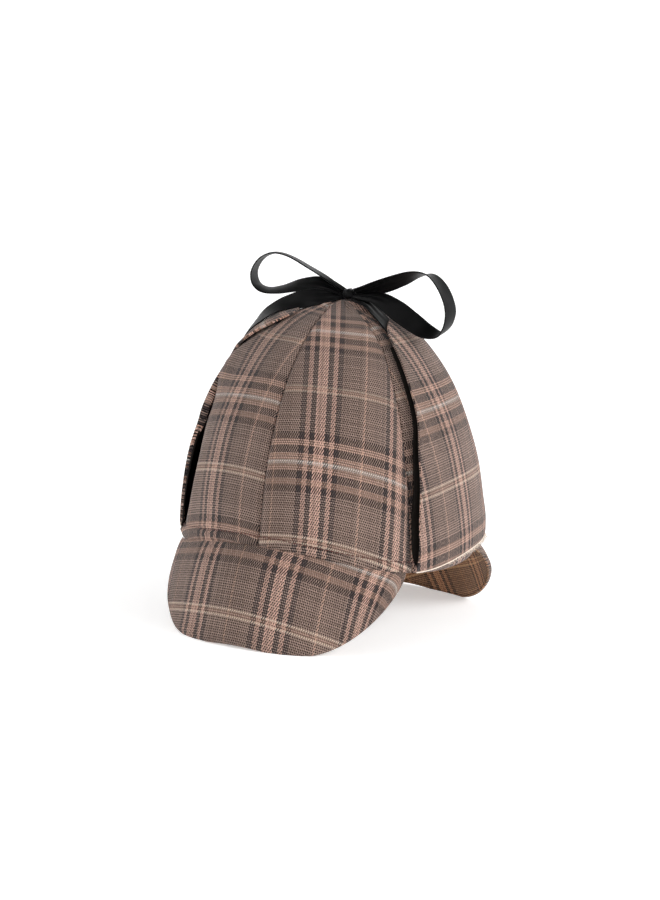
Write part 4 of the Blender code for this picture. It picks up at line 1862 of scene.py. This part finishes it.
@dataclass
class Studio:
    """Camera at the photograph's angle, soft lights, and a pale floor that sweeps up all round."""

    azimuth: float = 24.63
    elevation: float = 10.63
    roll: float = 2.72
    distance: float = 1.08
    pixels_per_metre: float = 1653.7
    target: Triple = (0.0, 0.0, 0.035)
    target_pixel: tuple[float, float] = (329.67, 540.34)
    frame_size: tuple[int, int] = (660, 900)
    sensor: float = 36.0
    floor_radius: float = 1.6
    floor_bend: float = 0.7
    wall_height: float = 1.9
    air: float = 0.13
    aim_height: float = 0.1

    def add_camera(self) -> None:
        """Place the camera, whose angles were found in the upright hat's frame."""
        turn, tip, roll = (math.radians(x) for x in (self.azimuth, self.elevation, self.roll))
        back = Vector((math.sin(turn) * math.cos(tip), -math.cos(turn) * math.cos(tip), math.sin(tip)))
        level = Vector((math.cos(turn), math.sin(turn), 0))
        upright = back.cross(level)
        right = level * math.cos(roll) + upright * math.sin(roll)
        up = -level * math.sin(roll) + upright * math.cos(roll)
        aside, below = (
            (pixel - size / 2) / self.pixels_per_metre
            for pixel, size in zip(self.target_pixel, self.frame_size)
        )
        place = Vector(self.target) + back * self.distance - right * aside + up * below
        data = bpy.data.cameras.new("camera")
        data.sensor_width = self.sensor
        data.lens = self.pixels_per_metre * self.distance / self.frame_size[1] * self.sensor
        data.clip_start, data.clip_end = 0.01, 100.0
        camera = bpy.data.objects.new("camera", data)
        bpy.context.scene.collection.objects.link(camera)
        axes = Matrix((right, up, back)).transposed()
        camera.matrix_world = Matrix.LocRotScale(STAND.place(place), STAND.turn() @ axes, None)
        bpy.context.scene.camera = camera

    def add_light(self, name: str, place: Sequence[float], size: float, watts: float) -> None:
        """Add a square soft light that points at the hat.

        Args:
            name: the light's name.
            place: where it hangs, in metres.
            size: length of its sides, in metres.
            watts: its power.
        """
        data = bpy.data.lights.new(name, "AREA")
        data.shape, data.size, data.energy = "SQUARE", size, watts
        light = bpy.data.objects.new(name, data)
        light.location = place
        aim = Vector((0, 0, self.aim_height)) - light.location
        light.rotation_euler = aim.to_track_quat("-Z", "Y").to_euler()
        bpy.context.scene.collection.objects.link(light)

    def add_backdrop(self) -> None:
        """Turn the floor's profile, flat in the middle and curved up into a wall."""
        mesh = bmesh.new()
        turns = [math.radians(turn) for turn in range(10, 91, 10)]
        radius, bend = self.floor_radius, self.floor_bend
        profile = [(0.0, 0.0), (radius, 0.0)]
        profile += [(radius + bend * math.sin(turn), bend * (1 - math.cos(turn))) for turn in turns]
        profile.append((radius + bend, self.wall_height))
        verts = [mesh.verts.new((across, 0, height)) for across, height in profile]
        edges = [mesh.edges.new(pair) for pair in zip(verts, verts[1:])]
        bmesh.ops.spin(
            mesh, geom=verts + edges, cent=(0, 0, 0), axis=(0, 0, 1), angle=math.tau, steps=96,
            use_merge=True,
        )
        bmesh.ops.remove_doubles(mesh, verts=mesh.verts, dist=1e-5)
        bmesh.ops.recalc_face_normals(mesh, faces=mesh.faces)
        add_object("backdrop", mesh, [Paper("paper").build()])

    def build(self) -> None:
        """Set up the studio."""
        self.add_camera()
        self.add_backdrop()
        for name, settings in LIGHTS.items():
            self.add_light(name, *settings)
        world = bpy.data.worlds.new("studio")
        world.use_nodes = True
        air = {"Color": (1.0, 1.0, 1.0, 1.0), "Strength": self.air}
        Graph(world.node_tree).feed(world.node_tree.nodes["Background"], air)
        bpy.context.scene.world = world
        bpy.context.scene.view_settings.view_transform = "Standard"


# ---- the hat


def main() -> None:
    """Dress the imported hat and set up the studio."""
    logging.basicConfig(level=logging.INFO, format="%(name)s: %(message)s")
    wardrobe = Wardrobe()
    Crown(wardrobe).build()
    Visor("front_visor", FRONT_CUT, FRONT_LIE, wardrobe).build()
    Visor("rear_visor", REAR_CUT, REAR_LIE, wardrobe).build()
    for side in Side:
        EarFlap(side, wardrobe).build()
    Bow(wardrobe).build()
    Studio().build()


if __name__ == "__main__":
    main()
